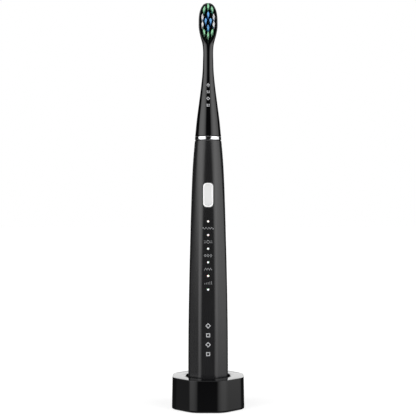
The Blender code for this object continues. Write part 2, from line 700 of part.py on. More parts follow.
def electronics(body):
    """Frame behind the board, the control board, its switch and the light guide."""
    inner, outer = CARRIER_RADII
    low, high = CARRIER_Z
    carrier = piece("drive_carrier", rod(outer, CARRIER_Z), "grey frame plastic", body)
    hollow = rod(inner, (low + CRADLE_FLOOR, high - CRADLE_FLOOR))
    boolean(carrier, "carrier_space", hollow)
    window = block((-outer - 2.0, -outer - 2.0, low - 1.0), (outer + 2.0, CARRIER_FRONT_Y, high + 1.0))
    boolean(carrier, "carrier_front", window)

    half = BOARD_WIDTH / 2
    board = block((-half, BOARD_Y[0], BOARD_Z[0]), (half, BOARD_Y[1], BOARD_Z[1]))
    piece("control_board", board, "circuit green", body)

    width, thick, height = SWITCH_SIZE
    switch = block((-width / 2, SWITCH_DEPTH, -height / 2), (width / 2, SWITCH_DEPTH + thick, height / 2))
    piece("switch_body", switch, "ferrite", body, origin=button_place(), tilt=button_tilt())
    outline = rounded(MEMBRANE_WIDTH, MEMBRANE_HEIGHT, BUTTON_CORNER)
    membrane = plate_facing_front(outline, MEMBRANE_DEPTH)
    seal = piece("button_membrane", membrane, "grey rubber", body, button_place(), button_tilt())
    opening = rod(PLUNGER_RADIUS + GAP, (0.0, 5.0), steps=SMALL_STEPS)
    opening.transform(Matrix.Rotation(-math.pi / 2, 4, "X"))
    boolean(seal, "plunger_opening", opening, tilt=button_tilt(), origin=button_place())

    reach = LIGHT_PITCH * (LIGHT_COUNT - 1) / 2 + GUIDE_END_MARGIN
    bar = block((-GUIDE_WIDTH / 2, GUIDE_DEPTH[0], -reach), (GUIDE_WIDTH / 2, GUIDE_DEPTH[1], reach))
    guide = piece("light_guide", bar, "clear light guide", body, guide_place(), guide_tilt())
    middle = sum(GUIDE_DEPTH) / 2
    pips = [pip(index, LIGHT_RADIUS, (0.0, middle)) for index in range(LIGHT_COUNT)]
    boolean(guide, "light_pips", merged(pips), "UNION", guide_tilt(), guide_place())


def guide_place():
    middle_z = LIGHT_TOP_Z - LIGHT_PITCH * (LIGHT_COUNT - 1) / 2
    return (0.0, -handle_half(middle_z), middle_z)


def guide_tilt():
    return front_wall_tilt(LIGHT_TOP_Z - LIGHT_PITCH * (LIGHT_COUNT - 1), LIGHT_TOP_Z)


def pip(index, radius, depths):
    """Round stub of the light guide, counted from the top, around the guide's own origin."""
    bm = rod(radius, depths, steps=SMALL_STEPS)
    bm.transform(Matrix.Rotation(-math.pi / 2, 4, "X"))
    offset = LIGHT_PITCH * ((LIGHT_COUNT - 1) / 2 - index)
    bm.transform(Matrix.Translation((0.0, 0.0, offset * MM)))
    return bm


def button_place():
    return (0.0, -handle_half(BUTTON_Z), BUTTON_Z)


def button_tilt():
    return front_wall_tilt(BUTTON_Z - BUTTON_HEIGHT / 2, BUTTON_Z + BUTTON_HEIGHT / 2)


def power_button(body):
    """Metal cap in the front wall and the plunger behind it that works the switch."""
    back = BUTTON_THICKNESS - BUTTON_PROUD
    edge = 0.35
    outlines = (
        (rounded(BUTTON_WIDTH - 2 * edge, BUTTON_HEIGHT - 2 * edge, BUTTON_CORNER - edge), -BUTTON_PROUD),
        (rounded(BUTTON_WIDTH, BUTTON_HEIGHT, BUTTON_CORNER), -BUTTON_PROUD + edge),
        (rounded(BUTTON_WIDTH, BUTTON_HEIGHT, BUTTON_CORNER), back),
    )
    cap = loft([[(x, depth, z) for x, z in outline] for outline, depth in outlines])
    piece("button_cap", cap, "chrome", body, origin=button_place(), tilt=button_tilt())
    front = back + GAP
    plunger = rod(PLUNGER_RADIUS, (front, front + PLUNGER_LENGTH), steps=SMALL_STEPS)
    plunger.transform(Matrix.Rotation(-math.pi / 2, 4, "X"))
    piece("switch_plunger", plunger, "white acetal", body, origin=button_place(), tilt=button_tilt())


def motor_group(body):
    """Can, bearings, stator and the seals around the shaft: all that stays with the handle."""
    piece("motor_can", tube(CAN_RADII, CAN_Z), "steel", body)
    piece("rear_bearing", tube(BUSH_RADII, REAR_BEARING_Z), "bronze", body)
    piece("front_bearing", tube(BUSH_RADII, FRONT_BEARING_Z), "bronze", body)
    piece("stator_core", tube(STATOR_RADII, STATOR_CORE_Z), "steel", body)
    piece("stator_coil_lower", tube(STATOR_RADII, LOWER_COIL_Z), "copper", body)
    piece("stator_coil_upper", tube(STATOR_RADII, UPPER_COIL_Z), "copper", body)
    piece("damper_ring", tube(DAMPER_RADII, DAMPER_Z), "black rubber", body)
    piece("nose_bush", tube(NOSE_BUSH_RADII, NOSE_BUSH_Z), "white acetal", body)
    seal_low, seal_high = SHAFT_SEAL_Z
    bore, outer = SHAFT_SEAL_RADII
    seal = [
        (bore, seal_low), (outer, seal_low), (outer, seal_high - 0.5),
        (bore + 0.6, seal_high), (bore, seal_high),
    ]
    piece("shaft_seal", turned(seal), "black rubber", body)
    piece("return_spring", coil_spring(), "steel", body)


def coil_spring():
    """Wire swept round a helix, closed at both ends."""
    per_turn = 12
    low, high = SPRING_Z
    low += SPRING_WIRE_RADIUS
    high -= SPRING_WIRE_RADIUS
    count = per_turn * SPRING_TURNS
    rings = []
    for step in range(count + 1):
        turn = math.tau * step / per_turn
        z = low + (high - low) * step / count
        ring = []
        for corner in range(6):
            angle = math.tau * corner / 6
            radius = SPRING_MEAN_RADIUS + SPRING_WIRE_RADIUS * math.cos(angle)
            height = z + SPRING_WIRE_RADIUS * math.sin(angle)
            ring.append((radius * math.cos(turn), radius * math.sin(turn), height))
        rings.append(ring)
    return loft(rings)


# ---------------------------------------------------------------- drive

def armature(body):
    """Shaft with its driving flat, the iron yoke and two magnets."""
    low, high = SHAFT_Z
    rings = [
        at_height(circle(SHAFT_RADIUS, steps=INNER_STEPS), low),
        at_height(circle(SHAFT_RADIUS, steps=INNER_STEPS), high - 0.6),
        at_height(circle(SHAFT_RADIUS - 0.6, steps=INNER_STEPS), high),
    ]
    shaft = piece("drive_shaft", loft(rings), "steel", body)
    flat = block((-3.0, -4.0, SHAFT_FLAT_LOW_Z), (3.0, SHAFT_FLAT_Y, high + 2.0))
    boolean(shaft, "driving_flat", flat)
    piece("rotor_yoke", tube(YOKE_RADII, YOKE_Z), "steel", body)
    for name, middle in (("magnet_right", 0.0), ("magnet_left", 180.0)):
        piece(name, prism(arc_band(MAGNET_RADII, MAGNET_SPAN, middle), MAGNET_Z), "magnet nickel", body)


# ---------------------------------------------------------------- brush head

def crown_station(step):
    """Ring of the rounded top of the head, from its widest place upwards."""
    angle = math.radians(90.0) * step / CROWN_STEPS
    rise = math.sin(angle) ** (2.0 / HEAD_CROWN_POWER)
    narrow = math.cos(angle) ** (2.0 / HEAD_CROWN_POWER)
    half_width, half_depth, back = HEAD_STATIONS[-1][1:]
    height = HEAD_CROWN_Z + (HEAD_TOP_Z - HEAD_CROWN_Z) * rise
    return height, half_width * narrow, half_depth * narrow ** 0.35, back


def section_power(height):
    """Round at the neck, squarer across the head."""
    low, high = HEAD_SQUARING_Z
    t = (height - low) / (high - low)
    return 2.0 + (HEAD_SECTION_POWER - 2.0) * min(max(t, 0.0), 1.0)


def brush_head_shell(body):
    """Hollow cone that slips over the shaft, running up a solid neck into the flat head."""
    inner, outer = COLLAR_RADII
    bore = [(3.6, NECK_CAVITY_TOP_Z)]
    bore += [(smooth_between(HEAD_STATIONS, z)[0] - NECK_WALL, z) for z in (196.0, 188.0, 180.0)]
    bore += [(inner, NECK_BOTTOM_Z), (inner, COLLAR_BOTTOM_Z)]
    bore += [(outer, COLLAR_BOTTOM_Z), (outer, NECK_BOTTOM_Z)]
    rings = [at_height(circle(radius, steps=HEAD_STEPS), z) for radius, z in bore]
    stations = [(z, *smooth_between(HEAD_STATIONS, z)) for z in HEAD_RING_HEIGHTS]
    stations += [crown_station(step) for step in range(CROWN_STEPS)]
    stations.append((HEAD_TOP_Z, 1.4, 1.2, 0.7))
    for z, half_width, half_depth, back in stations:
        rings.append(at_height(oval(half_width, half_depth, back, section_power(z), HEAD_STEPS), z))
    piece("brush_head_shell", loft(rings), "gloss black", body)


def neck_fittings(body):
    """Socket that grips the shaft, its spring clip, and the trim ring below the neck."""
    low, high = SOCKET_INSERT_Z
    low_radius, high_radius = SOCKET_INSERT_RADII
    groove_low, groove_high = CLIP_GROOVE_Z
    profile = [
        (SOCKET_INSERT_BORE + 0.5, low), (low_radius, low), (high_radius, high),
        (SOCKET_INSERT_BORE, high), (SOCKET_INSERT_BORE, groove_high),
        (CLIP_GROOVE_RADIUS, groove_high), (CLIP_GROOVE_RADIUS, groove_low),
        (SOCKET_INSERT_BORE, groove_low), (SOCKET_INSERT_BORE, low + 0.5),
    ]
    piece("shaft_socket", turned(profile), "white acetal", body)
    clip = prism(arc_band(CLIP_RADII, CLIP_SPAN, 90.0, 16), (groove_low + GAP, groove_high - GAP))
    piece("socket_clip", clip, "steel", body)

    low, high = RING_Z
    bore, outer = RING_RADII
    edge = 0.25
    ring = [
        (bore, low), (outer - edge, low), (outer, low + edge),
        (outer - 0.05, high - edge), (outer - edge, high), (bore, high),
    ]
    piece("head_ring", turned(ring, steps=ROUND_STEPS), "chrome", body)


def bristle_tufts(body):
    """Diamond-shaped tufts standing out of the head's face."""
    half_width, half_height = TUFT_HALF_WIDTH, TUFT_HALF_HEIGHT
    outline = (
        (0.0, half_height), (-0.55 * half_width, 0.55 * half_height), (-half_width, 0.0),
        (-0.5 * half_width, -0.6 * half_height), (0.0, -half_height),
        (0.5 * half_width, -0.6 * half_height), (half_width, 0.0),
        (0.55 * half_width, 0.55 * half_height),
    )
    root = HEAD_FACE_Y - GAP
    for number, (x, z, tilt, colour) in enumerate(TUFTS, start=1):
        bm = plate_facing_front(outline, (TUFT_TIP_Y, root))
        bm.transform(Matrix.Rotation(math.radians(tilt), 4, "Y"))
        piece(f"bristle_tuft_{number:02d}", bm, colour, body, origin=(x, 0.0, z))


# ---------------------------------------------------------------- assembly

def build():
    for obj in list(bpy.data.objects):
        bpy.data.objects.remove(obj, do_unlink=True)

    charger = joint_empty("charger_body", (0.0, 0.0, 0.0))
    handle = joint_empty("handle_body", (0.0, 0.0, HANDLE_BOTTOM_Z), charger)
    button = joint_empty("button_body", button_place(), handle)
    drive = joint_empty("drive_body", (0.0, 0.0, SHAFT_Z[0]), handle)
    head = joint_empty("brush_head_body", (0.0, 0.0, NECK_BOTTOM_Z), drive)

    base_housing(charger)
    base_underside(charger)
    charging_side(charger)

    handle_shell(handle)
    foot_cap(handle)
    battery_group(handle)
    electronics(handle)
    motor_group(handle)
    power_button(button)
    armature(drive)

    brush_head_shell(head)
    neck_fittings(head)
    bristle_tufts(head)


build()
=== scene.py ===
"""Electric toothbrush on its charger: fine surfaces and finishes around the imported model.

Laid out as an add-on and run as a script. Lengths in the constants are millimetres; mm() turns
them into metres. +Z is up and the bristles point to -Y.
"""

import math
import random

import bpy
from bpy.props import FloatProperty, FloatVectorProperty, IntProperty, PointerProperty
from mathutils import Matrix, Vector


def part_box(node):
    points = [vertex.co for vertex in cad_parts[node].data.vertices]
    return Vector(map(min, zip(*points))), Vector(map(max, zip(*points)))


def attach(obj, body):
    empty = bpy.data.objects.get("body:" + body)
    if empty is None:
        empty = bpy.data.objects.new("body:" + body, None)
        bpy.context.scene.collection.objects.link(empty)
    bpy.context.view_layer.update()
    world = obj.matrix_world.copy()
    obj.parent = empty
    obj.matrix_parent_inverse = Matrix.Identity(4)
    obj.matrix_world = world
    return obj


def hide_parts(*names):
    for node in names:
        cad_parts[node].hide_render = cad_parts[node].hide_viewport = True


bl_info = {
    "name": "Electric Toothbrush on Charger",
    "version": (1, 0, 0),
    "blender": (4, 5, 0),
    "location": "View3D > Sidebar > Toothbrush",
    "description": "Builds the fine surfaces and finishes of a sonic toothbrush and its charger",
    "category": "Add Mesh",
}

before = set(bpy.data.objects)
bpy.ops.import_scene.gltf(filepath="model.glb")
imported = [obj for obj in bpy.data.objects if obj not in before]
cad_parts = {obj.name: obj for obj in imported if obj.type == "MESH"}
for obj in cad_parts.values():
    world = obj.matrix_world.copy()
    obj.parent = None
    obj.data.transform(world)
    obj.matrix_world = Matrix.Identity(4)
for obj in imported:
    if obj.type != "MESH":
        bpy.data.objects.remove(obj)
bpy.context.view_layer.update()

MM = 0.001


def mm(*lengths):
    """Millimetres to metres: one length gives a number, several give a vector."""
    if len(lengths) == 1:
        return lengths[0] * MM
    return Vector(lengths) * MM


def linear(hex_colour):
    """sRGB hex, such as "1A1A1B", to linear red, green and blue."""
    channels = [int(hex_colour[i:i + 2], 16) / 255 for i in (0, 2, 4)]
    return tuple(c / 12.92 if c <= 0.04045 else ((c + 0.055) / 1.055) ** 2.4 for c in channels)


def low(node):
    """Lowest corner of a CAD node in millimetres."""
    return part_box(node)[0] / MM


def high(node):
    """Highest corner of a CAD node in millimetres."""
    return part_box(node)[1] / MM


def ends(node):
    """Bottom and top of a CAD node in millimetres."""
    return low(node).z, high(node).z


# ---------------------------------------------------------------- sizes, in millimetres

BASE_LOW = low("base_housing")
BASE_HIGH = high("base_housing")
BASE_HALF = BASE_HIGH.x                 # across flats at the bottom, halved
BASE_DRAFT = 0.35                       # how much narrower the top is, each side
BASE_CORNER = 11.0
BASE_FILLET = 0.35
BASE_WALL = 2.0
DECK_Z = 20.5
POCKET_RADIUS = 14.4
POCKET_FLOOR_Z = 17.5
POCKET_WALL = 1.6
POCKET_EDGE = 0.35                      # rounding of the pocket's rim
POCKET_CORNER = 4.0                     # bunching of the points round it
POST_RADII = (4.2, 4.0)
POST_BORE = 2.9
POST_ROOF = 1.2
INLET_Z = 7.0
INLET_RADIUS = 2.9
SCREW_RING = 18.6
BOSS_RADIUS = 2.8
BOSS_LOW_Z = 2.7
PILOT_RADIUS = 1.5
PILOT_TOP_Z = 9.5
PLATE_CORNER = 8.6
PLATE_HOLE = 2.6
PAD_CORNER = 8.1
PAD_GROOVES = (6.0, 9.0, 12.0, 15.0, 18.0)
SCREW_HEAD = ((1.9, 1.0), (2.2, 1.15), (2.3, 1.4), (2.3, 2.2))      # radius, height
THREAD_LOW_Z = 2.3
THREAD_RADII = (1.2, 0.95)              # crest and root
SCREW_PITCH = 0.6
SCREW_TURNS = 9
SCREW_TIP = (0.6, 9.0)
RECESS_TOP_Z = 1.9

SHELL_LOW_Z = low("handle_shell").z
SHELL_TOP_Z = high("handle_shell").z
SHELL_WALL = 1.25
SHELL_CORNER = 4.2
FOOT_FILLET = 2.0
SHELL_STATIONS = (                      # height, half the width across flats
    (17.0, 12.82), (35.0, 12.80), (56.0, 12.66), (82.0, 12.26), (108.0, 11.64),
    (132.0, 10.95), (147.5, 10.40), (160.5, 9.68), (174.0, 8.56),
)
FADE_START_Z = 43.0                     # above this the octagon melts into a circle
FADE_LENGTH = 130.0
FADE_POWER = 1.8
LIP_HALF = 10.1
LIP_TOP_Z = 22.0
NOSE_HOLE = 5.6
NOSE_WALL = 1.4
CAP_TOP_Z = 21.7
CAP_GROOVE_Z = (19.1, 20.7)
CAP_GROOVE_DEPTH = 0.85

BUTTON_Z = 137.45
BUTTON_SIZE = (6.5, 15.5)
BUTTON_CORNER = 2.4
BUTTON_PROUD = 0.4
BUTTON_DEPTH = 1.05
LIGHT_TOP_Z = 120.6
LIGHT_PITCH = 8.71
LIGHT_COUNT = 6
LIGHT_RADIUS = 0.6
LIGHT_BAR = ((1.15, 1.6), (1.3, 1.75), (1.3, 2.65), (1.15, 2.8))    # half width, depth in the wall
PICTOGRAM_DROP = 4.35                   # from a light down to the middle of its pictogram
PICTOGRAM_STROKE = 0.3
FOOT_MARK_Z = (54.0, 48.0, 42.0, 36.0)
FOOT_MARK_REACH = 1.4
FOOT_MARK_STROKE = 0.5
NECK_MARK_Z = (208.6, 204.2, 199.8, 195.4)
NECK_MARK_REACH = 0.95
NECK_MARK_STROKE = 0.35

NECK_LOW_Z = 175.6
COLLAR_LOW_Z = low("brush_head_shell").z
COLLAR_RADII = (6.3, 7.0)
NECK_WALL = 1.4
CAVITY_TOP_Z = 198.5
NECK_STATIONS = (                       # height, half width, half depth, how far back the middle lies
    (175.6, 8.45, 8.45, 0.0), (186.4, 7.44, 7.44, 0.0), (196.8, 6.10, 6.10, 0.0),
    (207.2, 4.74, 4.74, 0.0), (217.6, 3.68, 3.60, 0.0), (225.4, 3.40, 3.05, 0.05),
    (230.8, 3.30, 2.75, 0.20), (235.8, 3.75, 2.45, 0.45), (241.0, 5.20, 2.30, 0.70),
    (246.0, 6.13, 2.30, 0.70), (250.0, 6.19, 2.30, 0.70),
)
CROWN_Z = 250.0
CROWN_POWER = 2.3
HEAD_TOP_Z = high("brush_head_shell").z
HEAD_SQUARING_Z = (236.0, 243.0)        # round at the neck, squarer across the head
SECTION_POWERS = (2.0, 10.0)
HEAD_FACE_Y = -1.6
TUFT_TIP_Y = low("bristle_tuft_01").y
RING_BORE = 7.3
RING_EDGE = 0.12

SHAFT_RADIUS = 1.9
SHAFT_GROOVE_Z = (176.4, 177.45)
SHAFT_GROOVE_DEPTH = 0.12
SHAFT_FLAT_Z = 181.0
SHAFT_FLAT_Y = -1.45

SPRING_RADIUS = 3.0
SPRING_WIRE = 0.3
SPRING_TURNS = 3
SPRING_STEPS = 40                       # segments in one turn


# ---------------------------------------------------------------- what a user would change

def length_property(name, description, default, smallest, largest):
    return FloatProperty(
        name=name, description=description, unit="LENGTH",
        default=mm(default), min=mm(smallest), max=mm(largest),
    )


def colour_property(name, description, hex_colour):
    return FloatVectorProperty(
        name=name, description=description, subtype="COLOR",
        size=3, min=0.0, max=1.0, default=linear(hex_colour),
    )


class ToothbrushSizes(bpy.types.PropertyGroup):
    """Sizes of the fine details."""

    opening_gap: length_property("Opening Gap", "Clearance round the button", 0.50, 0.05, 0.6)
    button_border: length_property("Button Border", "Width of the rounded border of the button",
                                   0.95, 0.2, 2.0)
    filament_diameter: length_property("Filament Diameter", "Thickness of one bristle", 0.2, 0.1, 0.4)
    ring_steps: IntProperty(
        name="Round Steps", description="Segments round a turned piece", default=96, min=24, max=256,
    )


class ToothbrushColours(bpy.types.PropertyGroup):
    """Colours of the main finishes."""

    handle: colour_property("Handle", "Satin lacquer of the handle", "1D1D1E")
    gloss: colour_property("Gloss Black", "Polished plastic of the charger and the brush head", "060607")
    button: colour_property("Button", "Silver lacquer of the button", "E9E9E9")
    green: colour_property("Green Bristles", "Outer tufts", "AAE7BD")
    blue: colour_property("Blue Bristles", "Middle tufts", "7BC0F7")
    white: colour_property("White Bristles", "Side tufts", "EEEEF0")


# ---------------------------------------------------------------- outlines

def circle(radius, steps, centre=(0.0, 0.0)):
    turns = [math.tau * (step + 0.5) / steps for step in range(steps)]
    return [(centre[0] + radius * math.cos(a), centre[1] + radius * math.sin(a)) for a in turns]


def arc(centre_x, centre_z, radius, start, end, count):
    """Points of an arc, angles in degrees."""
    return [(centre_x + radius * math.cos(a), centre_z + radius * math.sin(a))
            for a in (math.radians(angle) for angle in spread(start, end, count))]


def faceted(half, corner, facets=1.0, arc=7, flat=9):
    """Rounded octagon with arc points round each corner and flat points along each side.
    facets fades it to the circle of the same width at 0."""
    reach = (half - corner) / math.cos(math.radians(22.5))
    octagon = []
    for index in range(8):
        middle = math.radians(22.5 + 45.0 * index)
        for place in range(arc):
            angle = middle + math.radians(45.0) * (place / (arc - 1) - 0.5)
            octagon.append(Vector((
                reach * math.cos(middle) + corner * math.cos(angle),
                reach * math.sin(middle) + corner * math.sin(angle),
            )))
        turn = Matrix.Rotation(math.radians(45.0), 2)
        start = octagon[-1]
        end = turn @ octagon[-arc]
        # the side's points crowd towards its ends, to keep the flat truly flat when it is shaded
        for place in range(1, flat + 1):
            share = 0.5 - 0.5 * math.cos(math.pi * place / (flat + 1))
            octagon.append(start.lerp(end, share))
    return [tuple(p.lerp(p.normalized() * half, 1.0 - facets)) for p in octagon]


def disc(radius, height, corner=2.0):
    """Circle with as many points as the octagon, to join the two; corner sets how they bunch."""
    return at(faceted(radius, corner, 0.0), height)


def oval(half_width, half_depth, back, power, steps):
    points = []
    for x, y in circle(1.0, steps):
        x_out = math.copysign(abs(x) ** (2.0 / power), x)
        y_out = math.copysign(abs(y) ** (2.0 / power), y)
        points.append((half_width * x_out, back + half_depth * y_out))
    return points


def rounded(width, height, corner, steps=64):
    """Rectangle with round corners, in X and Z."""
    points = []
    for x, z in circle(corner, steps):
        points.append((x + math.copysign(width / 2 - corner, x), z + math.copysign(height / 2 - corner, z)))
    return points


def smooth_between(stations, height):
    """Catmull-Rom value of each column of the stations at a height."""
    last = len(stations) - 2
    index = next((i for i in range(last) if height < stations[i + 1][0]), last)
    below, above = stations[index], stations[index + 1]
    before = stations[max(index - 1, 0)]
    after = stations[min(index + 2, len(stations) - 1)]
    span = above[0] - below[0]
    t = (height - below[0]) / span
    values = []
    for column in range(1, len(below)):
        slope_low = (above[column] - before[column]) / (above[0] - before[0]) * span
        slope_high = (after[column] - below[column]) / (after[0] - below[0]) * span
        values.append(
            (2 * t**3 - 3 * t**2 + 1) * below[column] + (t**3 - 2 * t**2 + t) * slope_low
            + (3 * t**2 - 2 * t**3) * above[column] + (t**3 - t**2) * slope_high
        )
    return values


def spread(start, end, count):
    """count heights from start to end, both included."""
    return [start + (end - start) * step / (count - 1) for step in range(count)]


def fillet_steps(radius, count=6):
    """(inset, drop) pairs round a quarter circle, from the flat top to the upright side."""
    pairs = []
    for step in range(count + 1):
        angle = math.radians(90.0) * step / count
        pairs.append((radius * (1 - math.sin(angle)), radius * (1 - math.cos(angle))))
    return pairs


def edge_rings(half, corner, height, radius, count, up):
    """Rings round the rounded edge of an octagon, in order from the bottom to the top.
    up is 1 for a top edge at the height and -1 for a bottom edge."""
    steps = fillet_steps(radius, count)
    return [at(faceted(half - inset, corner - inset), height - up * drop)
            for inset, drop in (reversed(steps) if up > 0 else steps)]


def handle_half(height):
    return smooth_between(SHELL_STATIONS, height)[0]


def handle_facets(height):
    t = min(max((height - FADE_START_Z) / FADE_LENGTH, 0.0), 1.0)
    return 1.0 - t ** FADE_POWER


def handle_outline(height, inset=0.0):
    corner = max(SHELL_CORNER - inset, 1.5)
    return faceted(handle_half(height) - inset, corner, handle_facets(height))


def base_half(height):
    share = (height - BASE_LOW.z) / (DECK_Z - BASE_LOW.z)
    return BASE_HALF - BASE_DRAFT * share


# ---------------------------------------------------------------- meshes

def at(points, height):
    return [(x, y, height) for x, y in points]


def skin(rings, closed=False):
    """Vertices and faces of a skin over rings of equally many points."""
    count = len(rings[0])
    verts = [point for ring in rings for point in ring]
    faces = []
    pairs = list(zip(range(len(rings)), range(1, len(rings))))
    if closed:
        pairs.append((len(rings) - 1, 0))
    for a, b in pairs:
        for i in range(count):
            j = (i + 1) % count
            faces.append((a * count + i, a * count + j, b * count + j, b * count + i))
    if not closed:
        faces.append(tuple(reversed(range(count))))
        faces.append(tuple(range((len(rings) - 1) * count, len(rings) * count)))
    return verts, faces


def turned(profile, steps, centre=(0.0, 0.0)):
    """Ring-shaped body: a closed outline of (radius, height) turned about a vertical axis."""
    return skin([at(circle(radius, steps, centre), z) for radius, z in profile], closed=True)


def joined(bodies):
    verts, faces = [], []
    for body_verts, body_faces in bodies:
        start = len(verts)
        verts.extend(body_verts)
        faces.extend(tuple(start + i for i in face) for face in body_faces)
    return verts, faces


def moved(mesh_data, matrix):
    verts, faces = mesh_data
    return [tuple(matrix @ Vector(v)) for v in verts], faces


def new_mesh(name, mesh_data, matrix=None):
    """Mesh in metres from vertices and faces in millimetres, with every face pointing out."""
    verts, faces = mesh_data
    mesh = bpy.data.meshes.new(name)
    mesh.from_pydata([Vector(v) * MM for v in verts], [], faces)
    if matrix is not None:
        mesh.transform(matrix)
    mesh.update()
    if signed_volume(mesh) < 0:
        mesh.flip_normals()
    return mesh


def signed_volume(mesh):
    mesh.calc_loop_triangles()
    total = 0.0
    for triangle in mesh.loop_triangles:
        a, b, c = (mesh.vertices[i].co for i in triangle.vertices)
        total += a.dot(b.cross(c))
    return total


def add_piece(name, mesh, material, body, nodes=(), degrees=35.0):
    """Object that rides on a body, wears the given material and stands for CAD nodes.
    mesh is a mesh, or vertices and faces; edges sharper than degrees stay sharp."""
    if not isinstance(mesh, bpy.types.Mesh):
        mesh = new_mesh(name, mesh)
    mesh.shade_smooth()
    mesh.set_sharp_from_angle(angle=math.radians(degrees))
    mesh.materials.append(material)
    obj = bpy.data.objects.new(name.replace(" ", "_"), mesh)
    bpy.context.scene.collection.objects.link(obj)
    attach(obj, body)
    if nodes:
        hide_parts(*nodes)
    return obj


def carved(name, body, *cuts):
    """Mesh of a body after boolean steps in order; each is an operation, vertices and faces, and
    maybe a matrix."""
    collection = bpy.context.scene.collection
    target = bpy.data.objects.new(name, new_mesh(name, body))
    collection.objects.link(target)
    helpers = []
    for operation, *cutter in cuts:
        helper = bpy.data.objects.new("cutter", new_mesh("cutter", *cutter))
        collection.objects.link(helper)
        modifier = target.modifiers.new("cut", "BOOLEAN")
        modifier.operation = operation
        modifier.object = helper
        helpers.append(helper)
    depsgraph = bpy.context.evaluated_depsgraph_get()
    result = bpy.data.meshes.new_from_object(target.evaluated_get(depsgraph))
    result.name = name
    for obj in [target, *helpers]:
        data = obj.data
        bpy.data.objects.remove(obj)
        bpy.data.meshes.remove(data)
    if not result.polygons:
        raise RuntimeError(f"the cuts left nothing of {name}")
    return result


def wall_frame(height_low, height_high, height):
    """Matrix of a frame lying on the handle's front wall: Y runs inwards, Z up the wall."""
    rise = height_high - height_low
    tilt = math.atan2(handle_half(height_low) - handle_half(height_high), rise)
    place = Matrix.Translation(mm(0.0, -handle_half(height), height))
    return place @ Matrix.Rotation(-tilt, 4, "X")


def button_frame():
    half = BUTTON_SIZE[1] / 2
    return wall_frame(BUTTON_Z - half, BUTTON_Z + half, BUTTON_Z)


def light_heights():
    return [LIGHT_TOP_Z - LIGHT_PITCH * index for index in range(LIGHT_COUNT)]


def lights_frame():
    """Frame of the row of lights, in millimetres."""
    heights = light_heights()
    top, bottom = heights[0], heights[-1]
    matrix = wall_frame(bottom, top, (bottom + top) / 2)
    matrix.translation /= MM
    return matrix


# ---------------------------------------------------------------- materials

def add(tree, kind, inputs=None, **settings):
    """One node with its settings; an input is a value or the socket that feeds it."""
    node = tree.nodes.new(kind)
    for name, value in settings.items():
        setattr(node, name, value)
    for socket, value in (inputs or {}).items():
        if isinstance(value, bpy.types.NodeSocket):
            tree.links.new(value, node.inputs[socket])
        else:
            node.inputs[socket].default_value = value
    return node


def new_material(name, **values):
    """Material and its shader, with constant values set on the shader's own sockets."""
    if name in bpy.data.materials:
        return bpy.data.materials[name], None, None
    material = bpy.data.materials.new(name)
    material.use_nodes = True
    shader = material.node_tree.nodes["Principled BSDF"]
    for socket, value in values.items():
        shader.inputs[socket.replace("_", " ")].default_value = value
    return material, material.node_tree, shader


def finish(name, tones, patch, rough, bump, **values):
    """Finish with two near tones and two roughness values that drift over patches, and a fine relief.
    patch is the size of the patches, bump the width and height of the relief, in millimetres."""
    material, tree, shader = new_material(name, **values)
    if tree is None:
        return material
    where = add(tree, "ShaderNodeTexCoord").outputs["Object"]
    patches = add(tree, "ShaderNodeTexNoise", {"Vector": where, "Scale": 1 / mm(patch), "Detail": 3.0})
    first, second = ((*tone, 1.0) for tone in tones)
    mix = add(tree, "ShaderNodeMix", {0: patches.outputs["Fac"], 6: first, 7: second}, data_type="RGBA")
    tree.links.new(mix.outputs[2], shader.inputs["Base Color"])
    drift = add(tree, "ShaderNodeMapRange", {
        "Value": patches.outputs["Fac"], "From Min": 0.3, "From Max": 0.7,
        "To Min": rough[0], "To Max": rough[1],
    })
    tree.links.new(drift.outputs["Result"], shader.inputs["Roughness"])
    width, height = bump
    relief = add(tree, "ShaderNodeTexNoise", {"Vector": where, "Scale": 1 / mm(width), "Detail": 2.0})
    raised = add(tree, "ShaderNodeBump", {"Height": relief.outputs["Fac"], "Distance": mm(height)})
    tree.links.new(raised.outputs["Normal"], shader.inputs["Normal"])
    return material


def near(colour, share):
    """The colour made darker or lighter by a share."""
    return tuple(min(channel * (1 + share), 1.0) for channel in colour)


def gloss_black():
    # piano-black moulded plastic: deep black with clear reflections, the faintest mould waviness
    colour = tuple(bpy.context.scene.toothbrush_colours.gloss)
    return finish("Gloss black plastic", (colour, near(colour, 0.25)), 18.0, (0.045, 0.075),
                  (9.0, 0.004), IOR=1.5)


def charger_black():
    # the same moulded plastic on the charger, where everyday wiping has taken the edge off the shine
    colour = tuple(bpy.context.scene.toothbrush_colours.gloss)
    return finish("Charger black plastic", (colour, near(colour, 0.25)), 18.0, (0.06, 0.09),
                  (9.0, 0.004), IOR=1.5, Specular_IOR_Level=0.36)


def satin_black():
    # soft-feel satin lacquer: reflections kept but blurred, with a very fine spray texture
    colour = tuple(bpy.context.scene.toothbrush_colours.handle)
    return finish("Satin black lacquer", (colour, near(colour, 0.15)), 14.0, (0.20, 0.25),
                  (0.5, 0.0012), IOR=1.5)


def satin_plug():
    # the same black plastic unlacquered: greyer, duller and with a spark-eroded grain
    return finish("Grained black plastic", (linear("1B1B1C"), linear("222223")), 6.0, (0.42, 0.52),
                  (0.35, 0.008), IOR=1.5)


def chrome():
    # bright chromium plate: mirror-like, with the slight haze of handling
    return finish("Chromium plate", (linear("DCDDDF"), linear("E6E7E9")), 5.0, (0.05, 0.09),
                  (3.0, 0.0008), Metallic=1.0)


def silver_face():
    # pearl silver lacquer on the button: nearly white, satin, with fine metal flake
    colour = tuple(bpy.context.scene.toothbrush_colours.button)
    return finish("Pearl silver lacquer", (colour, near(colour, -0.06)), 0.4, (0.32, 0.42),
                  (0.3, 0.001), IOR=1.5)


